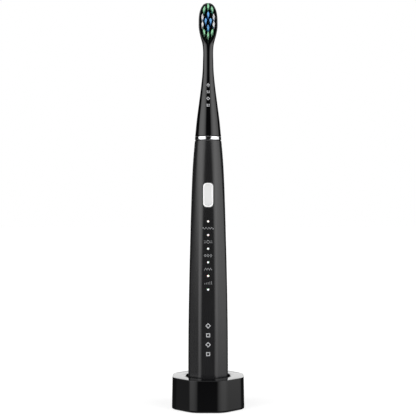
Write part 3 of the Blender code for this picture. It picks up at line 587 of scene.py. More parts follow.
def silver_border():
    # the same lacquer polished over the rounded border, with a sharp glint; its colour is made a little
    # whiter as a painted highlight
    colour = near(tuple(bpy.context.scene.toothbrush_colours.button), 0.3)
    return finish("Polished pearl lacquer with painted highlight", (colour, near(colour, -0.03)), 0.8, (0.10, 0.16),
                  (0.6, 0.0006), IOR=1.6)


def steel():
    # turned stainless steel: grey metal with a fine machined haze
    return finish("Stainless steel", (linear("B9BBBE"), linear("A9ABAE")), 2.5, (0.20, 0.32),
                  (0.4, 0.0015), Metallic=1.0)


def nickel():
    # nickel plate: warm grey metal, a little brighter than the steel
    return finish("Nickel plate", (linear("C9C4BA"), linear("BDB7AC")), 3.0, (0.16, 0.26),
                  (1.0, 0.001), Metallic=1.0)


def bronze():
    # sintered bronze: brown metal with open pores that hold oil
    return finish("Sintered bronze", (linear("A8794A"), linear("8E643A")), 0.9, (0.38, 0.52),
                  (0.5, 0.008), Metallic=1.0)


def ferrite():
    # fired ferrite: dark grey ceramic, dull, with a sandy skin
    return finish("Ferrite", (linear("3A3939"), linear("302F2F")), 1.2, (0.62, 0.75),
                  (0.5, 0.012), IOR=1.6)


def black_rubber():
    # moulded rubber: matt charcoal, bloom a little lighter in patches
    return finish("Black rubber", (linear("1E1E1E"), linear("292929")), 4.0, (0.70, 0.85),
                  (0.5, 0.01), IOR=1.5)


def grey_rubber():
    # silicone membrane: matt light grey with a slight sheen
    return finish("Grey silicone", (linear("85868A"), linear("7A7B80")), 3.0, (0.62, 0.74),
                  (0.6, 0.006), IOR=1.42)


def acetal():
    # natural acetal: waxy off-white that lets a little light in
    return finish("White acetal", (linear("EDECE6"), linear("E3E2DB")), 4.0, (0.30, 0.38),
                  (1.2, 0.002), IOR=1.48, Subsurface_Weight=0.15, Subsurface_Scale=mm(1.0))


def frame_plastic():
    # glass-filled nylon: mid grey with short pale fibres showing at the skin
    return finish("Glass-filled nylon", (linear("8D8F94"), linear("9C9EA2")), 0.7, (0.46, 0.58),
                  (0.4, 0.006), IOR=1.53)


def switch_plastic():
    # black thermoset of the tact switch: dark grey and slightly dusty
    return finish("Switch plastic", (linear("2C2C2D"), linear("353536")), 1.0, (0.45, 0.58),
                  (0.3, 0.004), IOR=1.55)


def board_lacquer():
    # solder resist over woven glass: green lacquer with the weave just telling through
    material, tree, shader = new_material("Circuit board", Roughness=0.32, IOR=1.55)
    if tree is None:
        return material
    where = add(tree, "ShaderNodeTexCoord").outputs["Object"]
    warp, weft = (
        add(tree, "ShaderNodeTexWave", {"Vector": where, "Scale": 1 / mm(1.2)}, bands_direction=axis)
        for axis in ("X", "Z")
    )
    threads = {0: warp.outputs["Fac"], 1: weft.outputs["Fac"]}
    weave = add(tree, "ShaderNodeMath", threads, operation="MULTIPLY")
    dark, pale = (*linear("14603A"), 1.0), (*linear("1E7A4B"), 1.0)
    mix = add(tree, "ShaderNodeMix", {0: weave.outputs["Value"], 6: dark, 7: pale}, data_type="RGBA")
    tree.links.new(mix.outputs[2], shader.inputs["Base Color"])
    relief = add(tree, "ShaderNodeBump", {"Height": weave.outputs["Value"], "Distance": mm(0.02)})
    tree.links.new(relief.outputs["Normal"], shader.inputs["Normal"])
    return material


def cell_wrap():
    # shrink film round the cell: blue, shiny, softly wrinkled
    return finish("Blue shrink film", (linear("1F55A0"), linear("1A4A90")), 6.0, (0.24, 0.36),
                  (4.0, 0.05), IOR=1.54)


def copper():
    # enamelled winding wire: red-orange metal under clear varnish
    return finish("Enamelled copper", (linear("C9743F"), linear("B5622F")), 0.8, (0.22, 0.34),
                  (0.5, 0.004), Metallic=1.0, Coat_Weight=0.5, Coat_Roughness=0.1)


def light_plastic():
    # milky light pipe that passes some light through; its emission is a painted glow that makes it read
    # pure white
    return finish("Milky light guide with painted glow", (linear("F4F6F8"), linear("E9ECEF")), 1.5, (0.22, 0.30),
                  (0.8, 0.001), IOR=1.49, Subsurface_Weight=0.3, Subsurface_Scale=mm(0.8),
                  Emission_Color=(1.0, 1.0, 1.0, 1.0), Emission_Strength=0.5)


def print_ink(name, hex_colour):
    # pad-printed ink: flat grey, a touch uneven where it thins
    colour = linear(hex_colour)
    return finish(name, (colour, near(colour, -0.15)), 0.6, (0.45, 0.60), (0.3, 0.002), IOR=1.5)


def bristle(name, colour):
    # nylon filament: glossy, with a tone that drifts a little in patches
    return finish(f"{name} nylon bristle", (colour, near(colour, -0.12)), 0.6, (0.28, 0.36),
                  (0.3, 0.001), IOR=1.53)


# ---------------------------------------------------------------- operators

class PieceOperator:
    """Shared settings of the operators."""

    bl_options = {"REGISTER", "UNDO"}


def give_finish(material, slot, *nodes):
    """A kept CAD node shows its own shape in a procedural finish."""
    for name in nodes:
        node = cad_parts[name]
        node.data.materials.clear()
        node.data.materials.append(material)
        for polygon in node.data.polygons:
            polygon.material_index = 0


def octagon_slab(node, corner, fillet):
    """Flat eight-sided plate with rounded edges, as wide and as thick as a CAD node."""
    half = high(node).x
    low_z, high_z = ends(node)
    rings = edge_rings(half, corner, low_z, fillet, 4, -1)
    rings += edge_rings(half, corner, high_z, fillet, 4, 1)
    return skin(rings)


def pin(radius, low_z, high_z, centre=(0.0, 0.0), steps=32):
    return skin([at(circle(radius, steps, centre), z) for z in (low_z, high_z)])


def lying(profile, z, steps=32, closed=False):
    """Body along Y, in the middle plane, from rings of (radius, y)."""
    verts, faces = skin([at(circle(radius, steps, (0.0, z)), y) for radius, y in profile], closed)
    return [(vx, vz, vy) for vx, vy, vz in verts], [tuple(reversed(face)) for face in faces]


def screw_places():
    angles = [math.radians(angle) for angle in (30.0, 150.0, 270.0)]
    return [(SCREW_RING * math.cos(a), SCREW_RING * math.sin(a)) for a in angles]


class TOOTHBRUSH_OT_housing(PieceOperator, bpy.types.Operator):
    """Charger housing: eight-sided tub with a round pocket, the post and the screw bosses"""

    bl_idname = "toothbrush.housing"
    bl_label = "Charger Housing"

    def execute(self, context):
        low_z = BASE_LOW.z
        rings = edge_rings(base_half(low_z), BASE_CORNER, low_z, 0.5, 4, -1)
        for z in spread(low_z + 1.5, DECK_Z - BASE_FILLET, 12):
            rings.append(at(faceted(base_half(z), BASE_CORNER), z))
        rings += edge_rings(base_half(DECK_Z), BASE_CORNER, DECK_Z, BASE_FILLET, 8, 1)
        rings.append(at(faceted(POCKET_RADIUS + 3.0, BASE_CORNER, 0.3), DECK_Z))
        for rim in arc(POCKET_RADIUS + POCKET_EDGE, DECK_Z - POCKET_EDGE, POCKET_EDGE, 90, 180, 4):
            rings.append(disc(*rim, POCKET_CORNER))
        rings.append(disc(POCKET_RADIUS, POCKET_FLOOR_Z + 0.4, POCKET_CORNER))
        rings.append(disc(POCKET_RADIUS - 0.4, POCKET_FLOOR_Z, POCKET_CORNER))
        foot = POST_RADII[0]
        for margin, rise in ((0.6, 0.0), (0.15, 0.15), (0.0, 0.6)):
            rings.append(disc(foot + margin, POCKET_FLOOR_Z + rise))
        for inset, drop in reversed(fillet_steps(1.0, 6)):
            rings.append(disc(POST_RADII[1] - inset, BASE_HIGH.z - drop, 1.0))

        wall = BASE_WALL
        ceiling = DECK_Z - wall
        shelf = POCKET_FLOOR_Z - POCKET_WALL
        cavity = [
            at(faceted(base_half(low_z) - wall, BASE_CORNER - wall), low_z - 1.0),
            at(faceted(base_half(ceiling) - wall, BASE_CORNER - wall), ceiling),
            disc(POCKET_RADIUS + POCKET_WALL, ceiling, POCKET_CORNER),
            disc(POCKET_RADIUS + POCKET_WALL, shelf, POCKET_CORNER),
            disc(POST_BORE, shelf, 1.0),
            disc(POST_BORE, BASE_HIGH.z - POST_ROOF, 1.0),
        ]
        bosses = [pin(BOSS_RADIUS, BOSS_LOW_Z, ceiling + 1.0, place) for place in screw_places()]
        pilots = [pin(PILOT_RADIUS, BOSS_LOW_Z - 1.0, PILOT_TOP_Z, place) for place in screw_places()]
        inlet = [(INLET_RADIUS, BASE_HALF - wall - 2.0), (INLET_RADIUS, BASE_HALF + 2.0)]
        mesh = carved(
            "Charger housing", skin(rings), ("DIFFERENCE", skin(cavity)), ("UNION", joined(bosses)),
            ("DIFFERENCE", joined(pilots)), ("DIFFERENCE", lying(inlet, INLET_Z)),
        )
        add_piece("Charger housing", mesh, charger_black(), "charger",
                  ["base_housing"], 30.0)
        return {"FINISHED"}


CROSS_SLOT = (                          # outline of the screw's recess
    (1.4, -0.25), (1.4, 0.25), (0.25, 0.25), (0.25, 1.4), (-0.25, 1.4), (-0.25, 0.25),
    (-1.4, 0.25), (-1.4, -0.25), (-0.25, -0.25), (-0.25, -1.4), (0.25, -1.4), (0.25, -0.25),
)


class TOOTHBRUSH_OT_underside(PieceOperator, bpy.types.Operator):
    """Floor plate, three screws, the rubber pad and the cord grommet"""

    bl_idname = "toothbrush.underside"
    bl_label = "Charger Underside"

    def execute(self, context):
        plate = octagon_slab("base_plate", PLATE_CORNER, 0.2)
        holes = joined([pin(PLATE_HOLE, -1.0, 4.0, place) for place in screw_places()])
        mesh = carved("Floor plate", plate, ("DIFFERENCE", holes))
        add_piece("Floor plate", mesh, satin_plug(), "charger", ["base_plate"])

        pad = octagon_slab("base_pad", PAD_CORNER, 0.15)
        groove = ((-0.4, -0.2), (0.4, -0.2), (0.2, 0.2), (-0.2, 0.2))
        grooves = joined([turned([(radius + x, z) for x, z in groove], 96) for radius in PAD_GROOVES])
        mesh = carved("Rubber pad", pad, ("DIFFERENCE", grooves))
        add_piece("Rubber pad", mesh, black_rubber(), "charger", ["base_pad"])

        profile = list(SCREW_HEAD)
        crest, root = THREAD_RADII
        for turn in range(SCREW_TURNS):
            z = THREAD_LOW_Z + SCREW_PITCH * turn
            profile += [(crest, z), (crest, z + 0.15), (root, z + 0.35), (root, z + 0.45)]
        profile.append(SCREW_TIP)
        for number, (x, y) in enumerate(screw_places(), start=1):
            screw = skin([at(circle(radius, 32, (x, y)), z) for radius, z in profile])
            cross = [(x + px, y + py) for px, py in CROSS_SLOT]
            slots = skin([at(cross, z) for z in (0.0, RECESS_TOP_Z)])
            name = f"Floor screw {number}"
            mesh = carved(name, screw, ("DIFFERENCE", slots))
            add_piece(name, mesh, steel(), "charger", [f"base_screw_{number}"])

        inside, face = low("cable_gland").y, high("cable_gland").y
        profile = [(1.6, inside), (2.6, inside), (2.6, face - 0.3), (2.3, face), (1.8, face),
                   (1.6, face - 0.2)]
        add_piece("Cord grommet", lying(profile, INLET_Z, 48, closed=True), black_rubber(), "charger",
                  ["cable_gland"])
        return {"FINISHED"}


class TOOTHBRUSH_OT_charging(PieceOperator, bpy.types.Operator):
    """Wound coil and ferrite of the charger, and the ones that receive in the handle"""

    bl_idname = "toothbrush.charging"
    bl_label = "Charging Coils"

    def execute(self, context):
        windings("Charger coil", "charger_coil", "charger", 0.3)
        windings("Receiver coil", "receiver_coil", "handle", 0.4)
        give_finish(ferrite(), "ferrite", "charger_core", "receiver_core")
        give_finish(board_lacquer(), "circuit_board", "charger_board")
        return {"FINISHED"}


def windings(name, node, body, pitch):
    """Coil whose outer layer shows each turn of wire as a bead."""
    inner = min_radius(node)
    outer = high(node).x
    low_z, high_z = ends(node)
    turns = int((high_z - low_z) / pitch)
    step = (high_z - low_z) / turns
    profile = [(inner, high_z), (inner, low_z)]
    for turn in range(turns):
        base = low_z + turn * step
        for part in (0.02, 0.25, 0.5, 0.75, 0.98):
            bulge = math.sin(math.pi * part)
            profile.append((outer - step * 0.5 * (1 - bulge), base + step * part))
    add_piece(name, turned(profile, 64), copper(), body, [node], 60.0)


def min_radius(node):
    """Bore radius of a ring-shaped CAD node standing on the Z axis, in millimetres."""
    return min(math.hypot(v.co.x, v.co.y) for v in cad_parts[node].data.vertices) / MM


class TOOTHBRUSH_OT_handle(PieceOperator, bpy.types.Operator):
    """Handle shell: rounded foot, eight flats that melt into a round nose, and its openings"""

    bl_idname = "toothbrush.handle"
    bl_label = "Handle Shell"

    def execute(self, context):
        gap = context.scene.toothbrush_sizes.opening_gap / MM
        foot = SHELL_STATIONS[0][1]
        rings = edge_rings(foot, SHELL_CORNER, SHELL_LOW_Z, FOOT_FILLET, 8, -1)
        heights = spread(SHELL_LOW_Z + FOOT_FILLET + 2.0, SHELL_TOP_Z - 0.7, 52)
        rings += [at(handle_outline(z), z) for z in heights]
        for inset, drop in reversed(fillet_steps(0.5, 4)):
            rings.append(at(handle_outline(SHELL_TOP_Z - drop, inset), SHELL_TOP_Z - drop))
        nose_floor = SHELL_TOP_Z - NOSE_WALL
        rings.append(disc(NOSE_HOLE + 0.15, SHELL_TOP_Z))
        rings += [disc(NOSE_HOLE, z) for z in (SHELL_TOP_Z - 0.15, nose_floor)]
        for z in (nose_floor, *spread(nose_floor - 8.0, LIP_TOP_Z + 0.5, 18)):
            rings.append(at(handle_outline(z, SHELL_WALL), z))
        lip = faceted(LIP_HALF, SHELL_CORNER - FOOT_FILLET)
        rings += [at(lip, z) for z in (LIP_TOP_Z, SHELL_LOW_Z)]

        width, height = (side + 2 * gap for side in BUTTON_SIZE)
        opening = [[(x, depth, z) for x, z in rounded(width, height, BUTTON_CORNER + gap)]
                   for depth in (-1.0, 3.0)]
        holes = []
        for z in light_heights():
            wall_y = -handle_half(z)
            profile = [(LIGHT_RADIUS + 1.25, wall_y - 1.0), (LIGHT_RADIUS + 0.25, wall_y)]
            profile += [(LIGHT_RADIUS + 0.1, wall_y + depth) for depth in (0.2, 3.0)]
            holes.append(lying(profile, z))
        mesh = carved("Handle shell", skin(rings, closed=True),
                      ("DIFFERENCE", skin(opening), button_frame()), ("DIFFERENCE", joined(holes)))
        add_piece("Handle shell", mesh, satin_black(), "handle",
                  ["handle_shell"], 28.0)

        corner = SHELL_CORNER - FOOT_FILLET - 0.3
        half = high("bottom_cap").x
        low_z, high_z = ends("bottom_cap")
        groove_low, groove_high = CAP_GROOVE_Z
        socket = ((4.8, high_z - 1.2), (4.8, low_z + 0.8), (4.95, low_z + 0.35), (5.3, low_z + 0.08),
                  (5.7, low_z))
        depth = CAP_GROOVE_DEPTH
        side = (                        # inset, how much the corners tighten, height
            (0.25, 0.25, low_z), (0.05, 0.08, low_z + 0.1), (0.0, 0.0, low_z + 0.3),
            (0.0, 0.0, groove_low), (depth, depth, groove_low), (depth, depth, groove_high),
            (0.0, 0.0, groove_high), (0.0, 0.0, CAP_TOP_Z),
        )
        sleeve = ((6.0, CAP_TOP_Z), (6.0, high_z - 0.6), (5.8, high_z - 0.15), (5.4, high_z))
        cap = [disc(*ring) for ring in socket]
        cap += [at(faceted(half - inset, corner - cut), z) for inset, cut, z in side]
        cap += [disc(*ring) for ring in sleeve]
        add_piece("Foot plug", skin(cap), satin_plug(), "handle", ["bottom_cap"])

        half = high("bottom_seal").x
        low_z, high_z = ends("bottom_seal")
        seal = [at(faceted(half - inset, 1.6), z) for inset, z in
                ((0.6, low_z), (0.25, low_z), (0.0, low_z + 0.2), (0.0, high_z - 0.2), (0.25, high_z),
                 (0.6, high_z))]
        add_piece("Foot seal", skin(seal, closed=True), black_rubber(), "handle",
                  ["bottom_seal"])
        return {"FINISHED"}


class TOOTHBRUSH_OT_button(PieceOperator, bpy.types.Operator):
    """Power button: rounded border, made brighter as a painted highlight, round a pearl silver face, and
    its plunger
    """

    bl_idname = "toothbrush.button"
    bl_label = "Power Button"

    def execute(self, context):
        border = context.scene.toothbrush_sizes.button_border / MM
        proud = -BUTTON_PROUD
        rim = [(0.0, BUTTON_DEPTH), (0.0, proud + 0.4)]
        for angle in range(0, 181, 15):
            turn = math.radians(angle)
            rim.append((border / 2 * (1 - math.cos(turn)), proud + 0.35 * (1 - math.sin(turn))))
        rim += [(border, BUTTON_DEPTH - 0.3), (border, BUTTON_DEPTH)]
        face = [(border + 0.02, BUTTON_DEPTH), (border + 0.02, proud + 0.24)]
        face += [(border + 0.25, proud + 0.17), (border + 0.8, proud + 0.12), (border + 1.6, proud + 0.08),
                 (border + 2.2, proud + 0.07)]
        width, height = BUTTON_SIZE
        for name, profile, closed, material, nodes in (
            ("Button border", rim, True, silver_border(), ["button_cap"]),
            ("Button face", face, False, silver_face(), []),
        ):
            rings = []
            for inset, depth in profile:
                corner = max(BUTTON_CORNER - inset, 0.35)
                points = rounded(width - 2 * inset, height - 2 * inset, corner, 96)
                rings.append([(x, depth, z) for x, z in points])
            mesh = new_mesh(name, skin(rings, closed), button_frame())
            add_piece(name, mesh, material, "button", nodes, 50.0)
        give_finish(acetal(), "white_acetal", "switch_plunger")
        return {"FINISHED"}


class TOOTHBRUSH_OT_lights(PieceOperator, bpy.types.Operator):
    """Light guide with its six round windows, and the mode pictograms printed between them"""

    bl_idname = "toothbrush.lights"
    bl_label = "Mode Lights"

    def execute(self, context):
        bar = []
        for width, depth in LIGHT_BAR:
            reach = LIGHT_PITCH * 2.5 + 1.3 + width
            bar.append([(x, depth, z) for x, z in
                        ((-width, -reach), (width, -reach), (width, reach), (-width, reach))])
        parts = [moved(skin(bar), lights_frame())]
        for z in light_heights():
            wall_y = -handle_half(z)
            profile = [(LIGHT_RADIUS, wall_y + 2.2), (LIGHT_RADIUS, wall_y + 0.25)]
            for angle in (20, 40, 60, 80):
                turn = math.radians(angle)
                profile.append((LIGHT_RADIUS * math.cos(turn), wall_y + 0.25 - 0.2 * math.sin(turn)))
            parts.append(lying(profile, z))
        add_piece("Light guide", joined(parts), light_plastic(), "handle",
                  ["light_guide"], 45.0)

        strokes = []
        for index, icon in enumerate(PICTOGRAMS):
            centre_z = LIGHT_TOP_Z - LIGHT_PITCH * index - PICTOGRAM_DROP
            for line in icon:
                strokes.append(ribbon([(x, centre_z + z) for x, z in line], PICTOGRAM_STROKE))
        foot = [ribbon(line, FOOT_MARK_STROKE) for line in mark(FOOT_MARK_Z, FOOT_MARK_REACH)]
        neck = [ribbon(line, NECK_MARK_STROKE, neck_y) for line in mark(NECK_MARK_Z, NECK_MARK_REACH)]
        for name, bodies, ink, body in (
            ("Printed pictograms", strokes, print_ink("Grey pad-printed ink", "939496"), "handle"),
            ("Printed foot mark", foot, print_ink("Pale pad-printed ink", "C6C7C9"), "handle"),
            ("Printed neck mark", neck, print_ink("Pale pad-printed ink", "C6C7C9"), "brush_head"),
        ):
            add_piece(name, joined(bodies), ink, body)
        return {"FINISHED"}


def wave(width, height, swings, z=0.0):
    """Points of a rounded wave in the X and Z plane, about the pictogram's middle."""
    count = 8 * swings
    return [(width * (i / count - 0.5), z + height / 2 * math.sin(math.tau * swings * i / count))
            for i in range(count + 1)]


PICTOGRAMS = (                          # strokes of (x, z) round each pictogram's middle
    [wave(7.2, 1.1, 4)],
    [arc(0.0, 0.0, 0.9, 0, 360, 16), [(-2.5, 0.55), (-1.5, 0.55)], [(-2.5, -0.55), (-1.5, -0.55)],
     [(1.5, 0.55), (2.5, 0.55)], [(1.5, -0.55), (2.5, -0.55)]],
    [[(x, 0.0), (x + 0.65, 0.8), (x + 1.3, 0.0), (x + 0.65, -0.8), (x, 0.0)] for x in (-2.45, -0.65, 1.15)],
    [[(-2.4, -0.6), (-1.6, 0.7), (-0.8, -0.6), (0.0, 0.7), (0.8, -0.6), (1.6, 0.7), (2.4, -0.6)]],
    [[(-2.2 + 1.1 * i, -0.85), (-2.2 + 1.1 * i, -0.4 + 0.33 * i)] for i in range(5)],
)


def mark(heights, reach):
    """Outlines of a row of plain diamonds and squares in turn, at heights up the front."""
    lines = []
    for index, z in enumerate(heights):
        turn = math.radians(45.0 * (index % 2))
        corners = [turn + math.tau * corner / 4 for corner in range(5)]
        lines.append([(reach * math.cos(a), z + reach * math.sin(a)) for a in corners])
    return lines


def front_y(x, z):
    """Depth of the handle's front wall at a place of the X and Z plane."""
    points = sorted(p for p in handle_outline(z) if p[1] < 0 and abs(p[0]) < handle_half(z) * 0.8)
    for (x_low, y_low), (x_high, y_high) in zip(points, points[1:]):
        if x_low <= x <= x_high:
            return y_low + (y_high - y_low) * (x - x_low) / (x_high - x_low)
    raise ValueError("the place is beside the front wall")


def neck_y(x, z):
    """Depth of the neck's front at a place of the X and Z plane."""
    half_width, half_depth, back = smooth_between(NECK_STATIONS, z)
    return back - half_depth * math.sqrt(1 - (x / half_width) ** 2)


def ribbon(line, width, wall=front_y, raised=0.04, sunk=0.08):
    """Printed strip along a line of (x, z): one body with mitred corners that follows the wall."""
    points = [Vector(point) for point in line]
    closed = (points[0] - points[-1]).length < width / 10
    if closed:
        points.pop()
    else:
        points[0] -= (points[1] - points[0]).normalized() * width / 2
        points[-1] += (points[-1] - points[-2]).normalized() * width / 2
    rings = []
    last = len(points) - 1
    for index, point in enumerate(points):
        before = points[index - 1] if closed or index > 0 else point
        after = points[(index + 1) % len(points)] if closed or index < last else point
        ways = [way.normalized() for way in (point - before, after - point) if way.length > 0]
        along = (ways[0] + ways[-1]).normalized()
        mitre = width / 2 / max(along.dot(ways[0]), 0.5)
        across = Vector((-along.y, along.x)) * mitre
        edges = [point + across, point - across]
        walls = [(x, wall(x, z), z) for x, z in edges]
        front = [(x, y - raised, z) for x, y, z in walls]
        back = [(x, y + sunk, z) for x, y, z in reversed(walls)]
        rings.append(front + back)
    return skin(rings, closed)


class TOOTHBRUSH_OT_inside(PieceOperator, bpy.types.Operator):
    """Finishes of the battery, the frames, the control board and the switch"""

    bl_idname = "toothbrush.inside"
    bl_label = "Battery and Electronics"

    def execute(self, context):
        give_finish(cell_wrap(), "cell_wrap", "battery_cell")
        give_finish(nickel(), "nickel", "battery_contact_lower", "battery_contact_upper")
        give_finish(frame_plastic(), "frame_plastic", "battery_cradle", "drive_carrier")
        give_finish(board_lacquer(), "circuit_board", "control_board")
        give_finish(switch_plastic(), "switch_plastic", "switch_body")
        give_finish(grey_rubber(), "grey_rubber", "button_membrane")
        return {"FINISHED"}


class TOOTHBRUSH_OT_motor(PieceOperator, bpy.types.Operator):
    """Motor with its wound stator, spring, bearings and the seal at the nose"""

    bl_idname = "toothbrush.motor"
    bl_label = "Motor"

    def execute(self, context):
        windings("Lower stator coil", "stator_coil_lower", "handle", 0.3)
        windings("Upper stator coil", "stator_coil_upper", "handle", 0.3)
        give_finish(steel(), "steel", "motor_can", "stator_core", "rotor_yoke")
        give_finish(bronze(), "bronze", "rear_bearing", "front_bearing")
        give_finish(nickel(), "nickel", "magnet_left", "magnet_right")
        give_finish(black_rubber(), "black_rubber", "damper_ring")

        rings = []
        low_z = low("return_spring").z + SPRING_WIRE
        high_z = high("return_spring").z - SPRING_WIRE
        count = SPRING_STEPS * SPRING_TURNS
        for step in range(count + 1):
            turn = math.tau * step / SPRING_STEPS
            z = low_z + (high_z - low_z) * step / count
            ring = []
            for corner in range(12):
                angle = math.tau * corner / 12
                radius = SPRING_RADIUS + SPRING_WIRE * math.cos(angle)
                rise = SPRING_WIRE * math.sin(angle)
                ring.append((radius * math.cos(turn), radius * math.sin(turn), z + rise))
            rings.append(ring)
        add_piece("Return spring", skin(rings), steel(), "handle", ["return_spring"])

        low_z, high_z = ends("nose_bush")
        bush = [(2.2, low_z + 0.2), (2.4, low_z), (6.8, low_z), (7.0, low_z + 0.2), (7.0, high_z - 0.2),
                (6.8, high_z), (2.4, high_z), (2.2, high_z - 0.2)]
        add_piece("Nose bush", turned(bush, 64), acetal(), "handle", ["nose_bush"])

        low_z, high_z = ends("shaft_seal")
        lips = [(2.2, low_z), (5.2, low_z), (5.2, high_z - 0.55), (5.0, high_z - 0.4), (4.2, high_z - 0.4),
                (3.9, high_z - 0.55), (3.5, high_z - 0.5), (3.0, high_z - 0.1), (2.6, high_z),
                (2.2, high_z - 0.15)]
        add_piece("Shaft seal", turned(lips, 64), black_rubber(), "handle", ["shaft_seal"])
        return {"FINISHED"}


class TOOTHBRUSH_OT_shaft(PieceOperator, bpy.types.Operator):
    """Drive shaft with a rounded tip and the driving flat"""

    bl_idname = "toothbrush.shaft"
    bl_label = "Drive Shaft"

    def execute(self, context):
        low_z, high_z = ends("drive_shaft")
        groove_low, groove_high = SHAFT_GROOVE_Z
        profile = (                     # inset from the shaft's radius, height
            (0.2, low_z), (0.0, low_z + 0.2), (0.0, groove_low), (SHAFT_GROOVE_DEPTH, groove_low + 0.15),
            (SHAFT_GROOVE_DEPTH, groove_high - 0.15), (0.0, groove_high), (0.0, high_z - 0.8),
            (0.1, high_z - 0.4), (0.35, high_z - 0.12), (0.7, high_z),
        )
        shaft = skin([at(circle(SHAFT_RADIUS - inset, 64), z) for inset, z in profile])
        corners = ((-3.0, -4.0), (3.0, -4.0), (3.0, SHAFT_FLAT_Y), (-3.0, SHAFT_FLAT_Y))
        flat = skin([at(corners, z) for z in (SHAFT_FLAT_Z, high_z + 2.0)])
        mesh = carved("Drive shaft", shaft, ("DIFFERENCE", flat))
        add_piece("Drive shaft", mesh, steel(), "drive", ["drive_shaft"])
        return {"FINISHED"}


def section_power(height):
    """Power of the section's superellipse at a height of the neck and head."""
    start, end = HEAD_SQUARING_Z
    share = min(max((height - start) / (end - start), 0.0), 1.0)
    return SECTION_POWERS[0] + (SECTION_POWERS[1] - SECTION_POWERS[0]) * share


def crown_station(angle):
    """Ring of the rounded top of the head at an angle of its climb, in degrees."""
    turn = math.radians(angle)
    rise = math.sin(turn) ** (2.0 / CROWN_POWER)
    narrow = math.cos(turn) ** (2.0 / CROWN_POWER)
    half_width, half_depth, back = NECK_STATIONS[-1][1:]
    height = CROWN_Z + (HEAD_TOP_Z - CROWN_Z) * rise
    return height, half_width * narrow, half_depth * narrow ** 0.35, back


class TOOTHBRUSH_OT_head(PieceOperator, bpy.types.Operator):
    """Brush head: hollow cone, slim neck, flat oval head, the bright ring and the shaft socket"""

    bl_idname = "toothbrush.head"
    bl_label = "Brush Head"

    def execute(self, context):
        steps = context.scene.toothbrush_sizes.ring_steps
        inner, outer = COLLAR_RADII
        bore = [(3.0, CAVITY_TOP_Z), (3.6, CAVITY_TOP_Z - 0.4)]
        bore += [(smooth_between(NECK_STATIONS, z)[0] - NECK_WALL, z) for z in spread(196.0, 180.0, 5)]
        bore += [(inner, NECK_LOW_Z + 0.6), (inner, COLLAR_LOW_Z + 0.2), (inner + 0.15, COLLAR_LOW_Z)]
        bore += [(outer - 0.15, COLLAR_LOW_Z), (outer, COLLAR_LOW_Z + 0.15), (outer, NECK_LOW_Z)]
        rings = [at(circle(radius, steps), z) for radius, z in bore]
        half = NECK_STATIONS[0][1]
        for inset, drop in fillet_steps(0.25, 4):
            rings.append(at(circle(half - inset, steps), NECK_LOW_Z + drop))
        stations = [(z, *smooth_between(NECK_STATIONS, z)) for z in spread(NECK_LOW_Z + 1.5, 249.6, 46)]
        stations += [crown_station(angle) for angle in spread(0.0, 86.0, 16)]
        for z, half_width, half_depth, back in stations:
            rings.append(at(oval(half_width, half_depth, back, section_power(z), steps), z))
        add_piece("Brush head", skin(rings), gloss_black(), "brush_head",
                  ["brush_head_shell"], 40.0)

        low_z, high_z = ends("head_ring")
        rim = high("head_ring").x
        ring = [(RING_BORE, high_z), (RING_BORE, low_z)]
        ring += arc(rim - RING_EDGE, low_z + RING_EDGE, RING_EDGE, -90, 0, 7)
        ring += arc(rim - RING_EDGE, high_z - RING_EDGE, RING_EDGE, 0, 90, 7)
        add_piece("Bright ring", turned(ring, steps), chrome(), "brush_head",
                  ["head_ring"], 50.0)

        low_z, high_z = ends("shaft_socket")
        profile = [(2.7, low_z), (5.8, low_z), (6.0, low_z + 0.2), (3.95, high_z - 0.2), (3.75, high_z),
                   (2.2, high_z), (2.2, 188.2), (3.5, 188.2), (3.5, 186.0), (2.2, 186.0),
                   (2.2, low_z + 0.5)]
        add_piece("Shaft socket", turned(profile, 64), acetal(), "brush_head",
                  ["shaft_socket"])
        give_finish(steel(), "steel", "socket_clip")
        return {"FINISHED"}


TUFT_TILT = 14.0
GREEN_TUFTS = {"01": 0.0, "02": TUFT_TILT, "03": -TUFT_TILT, "12": -TUFT_TILT, "13": TUFT_TILT, "14": 0.0}
BLUE_TUFTS = {"04": 0.0, "07": 0.0, "08": 0.0, "11": 0.0}
WHITE_TUFTS = {"05": 0.0, "06": 0.0, "09": 0.0, "10": 0.0}
TUFT_OUTLINE = (
    (0.0, 2.05), (-0.52, 1.13), (-0.95, 0.0), (-0.48, -1.23), (0.0, -2.05),
    (0.48, -1.23), (0.95, 0.0), (0.52, 1.13),
)
TUFT_CLOSING = (1.32, 1.03)             # how much the filaments keep inside the outline, in X and Z
CORE_SHARE = (0.70, 0.92)               # size of the solid core beside the outline
CORE_SHORT = 0.14                       # how far the core ends behind the tips
FILAMENT_WANDER = 0.02                  # how far a filament's root stands off the grid
FILAMENT_LEAN = 0.015
TUFT_SPLAY = 0.02                       # lean outward for each millimetre from the tuft's middle
TIP_UNEVEN = 0.18
GRID_PITCH = 0.97                       # space between filaments in a row, by their thickness
GRID_ROW = 0.87                         # space between rows, by that pitch
GRID_REACH = (8, 14)                    # columns and rows each side of the middle
ROOT_Y = HEAD_FACE_Y + 0.1              # filaments start inside the head


class TOOTHBRUSH_OT_bristles(PieceOperator, bpy.types.Operator):
    """Fourteen diamond-shaped tufts, each a bundle of round-ended nylon filaments"""

    bl_idname = "toothbrush.bristles"
    bl_label = "Bristle Tufts"

    def execute(self, context):
        colours = context.scene.toothbrush_colours
        thickness = context.scene.toothbrush_sizes.filament_diameter / MM
        for word, tufts, colour, slot in (
            ("Green", GREEN_TUFTS, colours.green, "bristle_green"),
            ("Blue", BLUE_TUFTS, colours.blue, "bristle_blue"),
            ("White", WHITE_TUFTS, colours.white, "bristle_white"),
        ):
            for number, tilt in tufts.items():
                node = f"bristle_tuft_{number}"
                add_piece(f"{word} tuft {number}", tuft(node, tilt, thickness),
                          bristle(word, tuple(colour)), "brush_head", [node], 60.0)
        return {"FINISHED"}


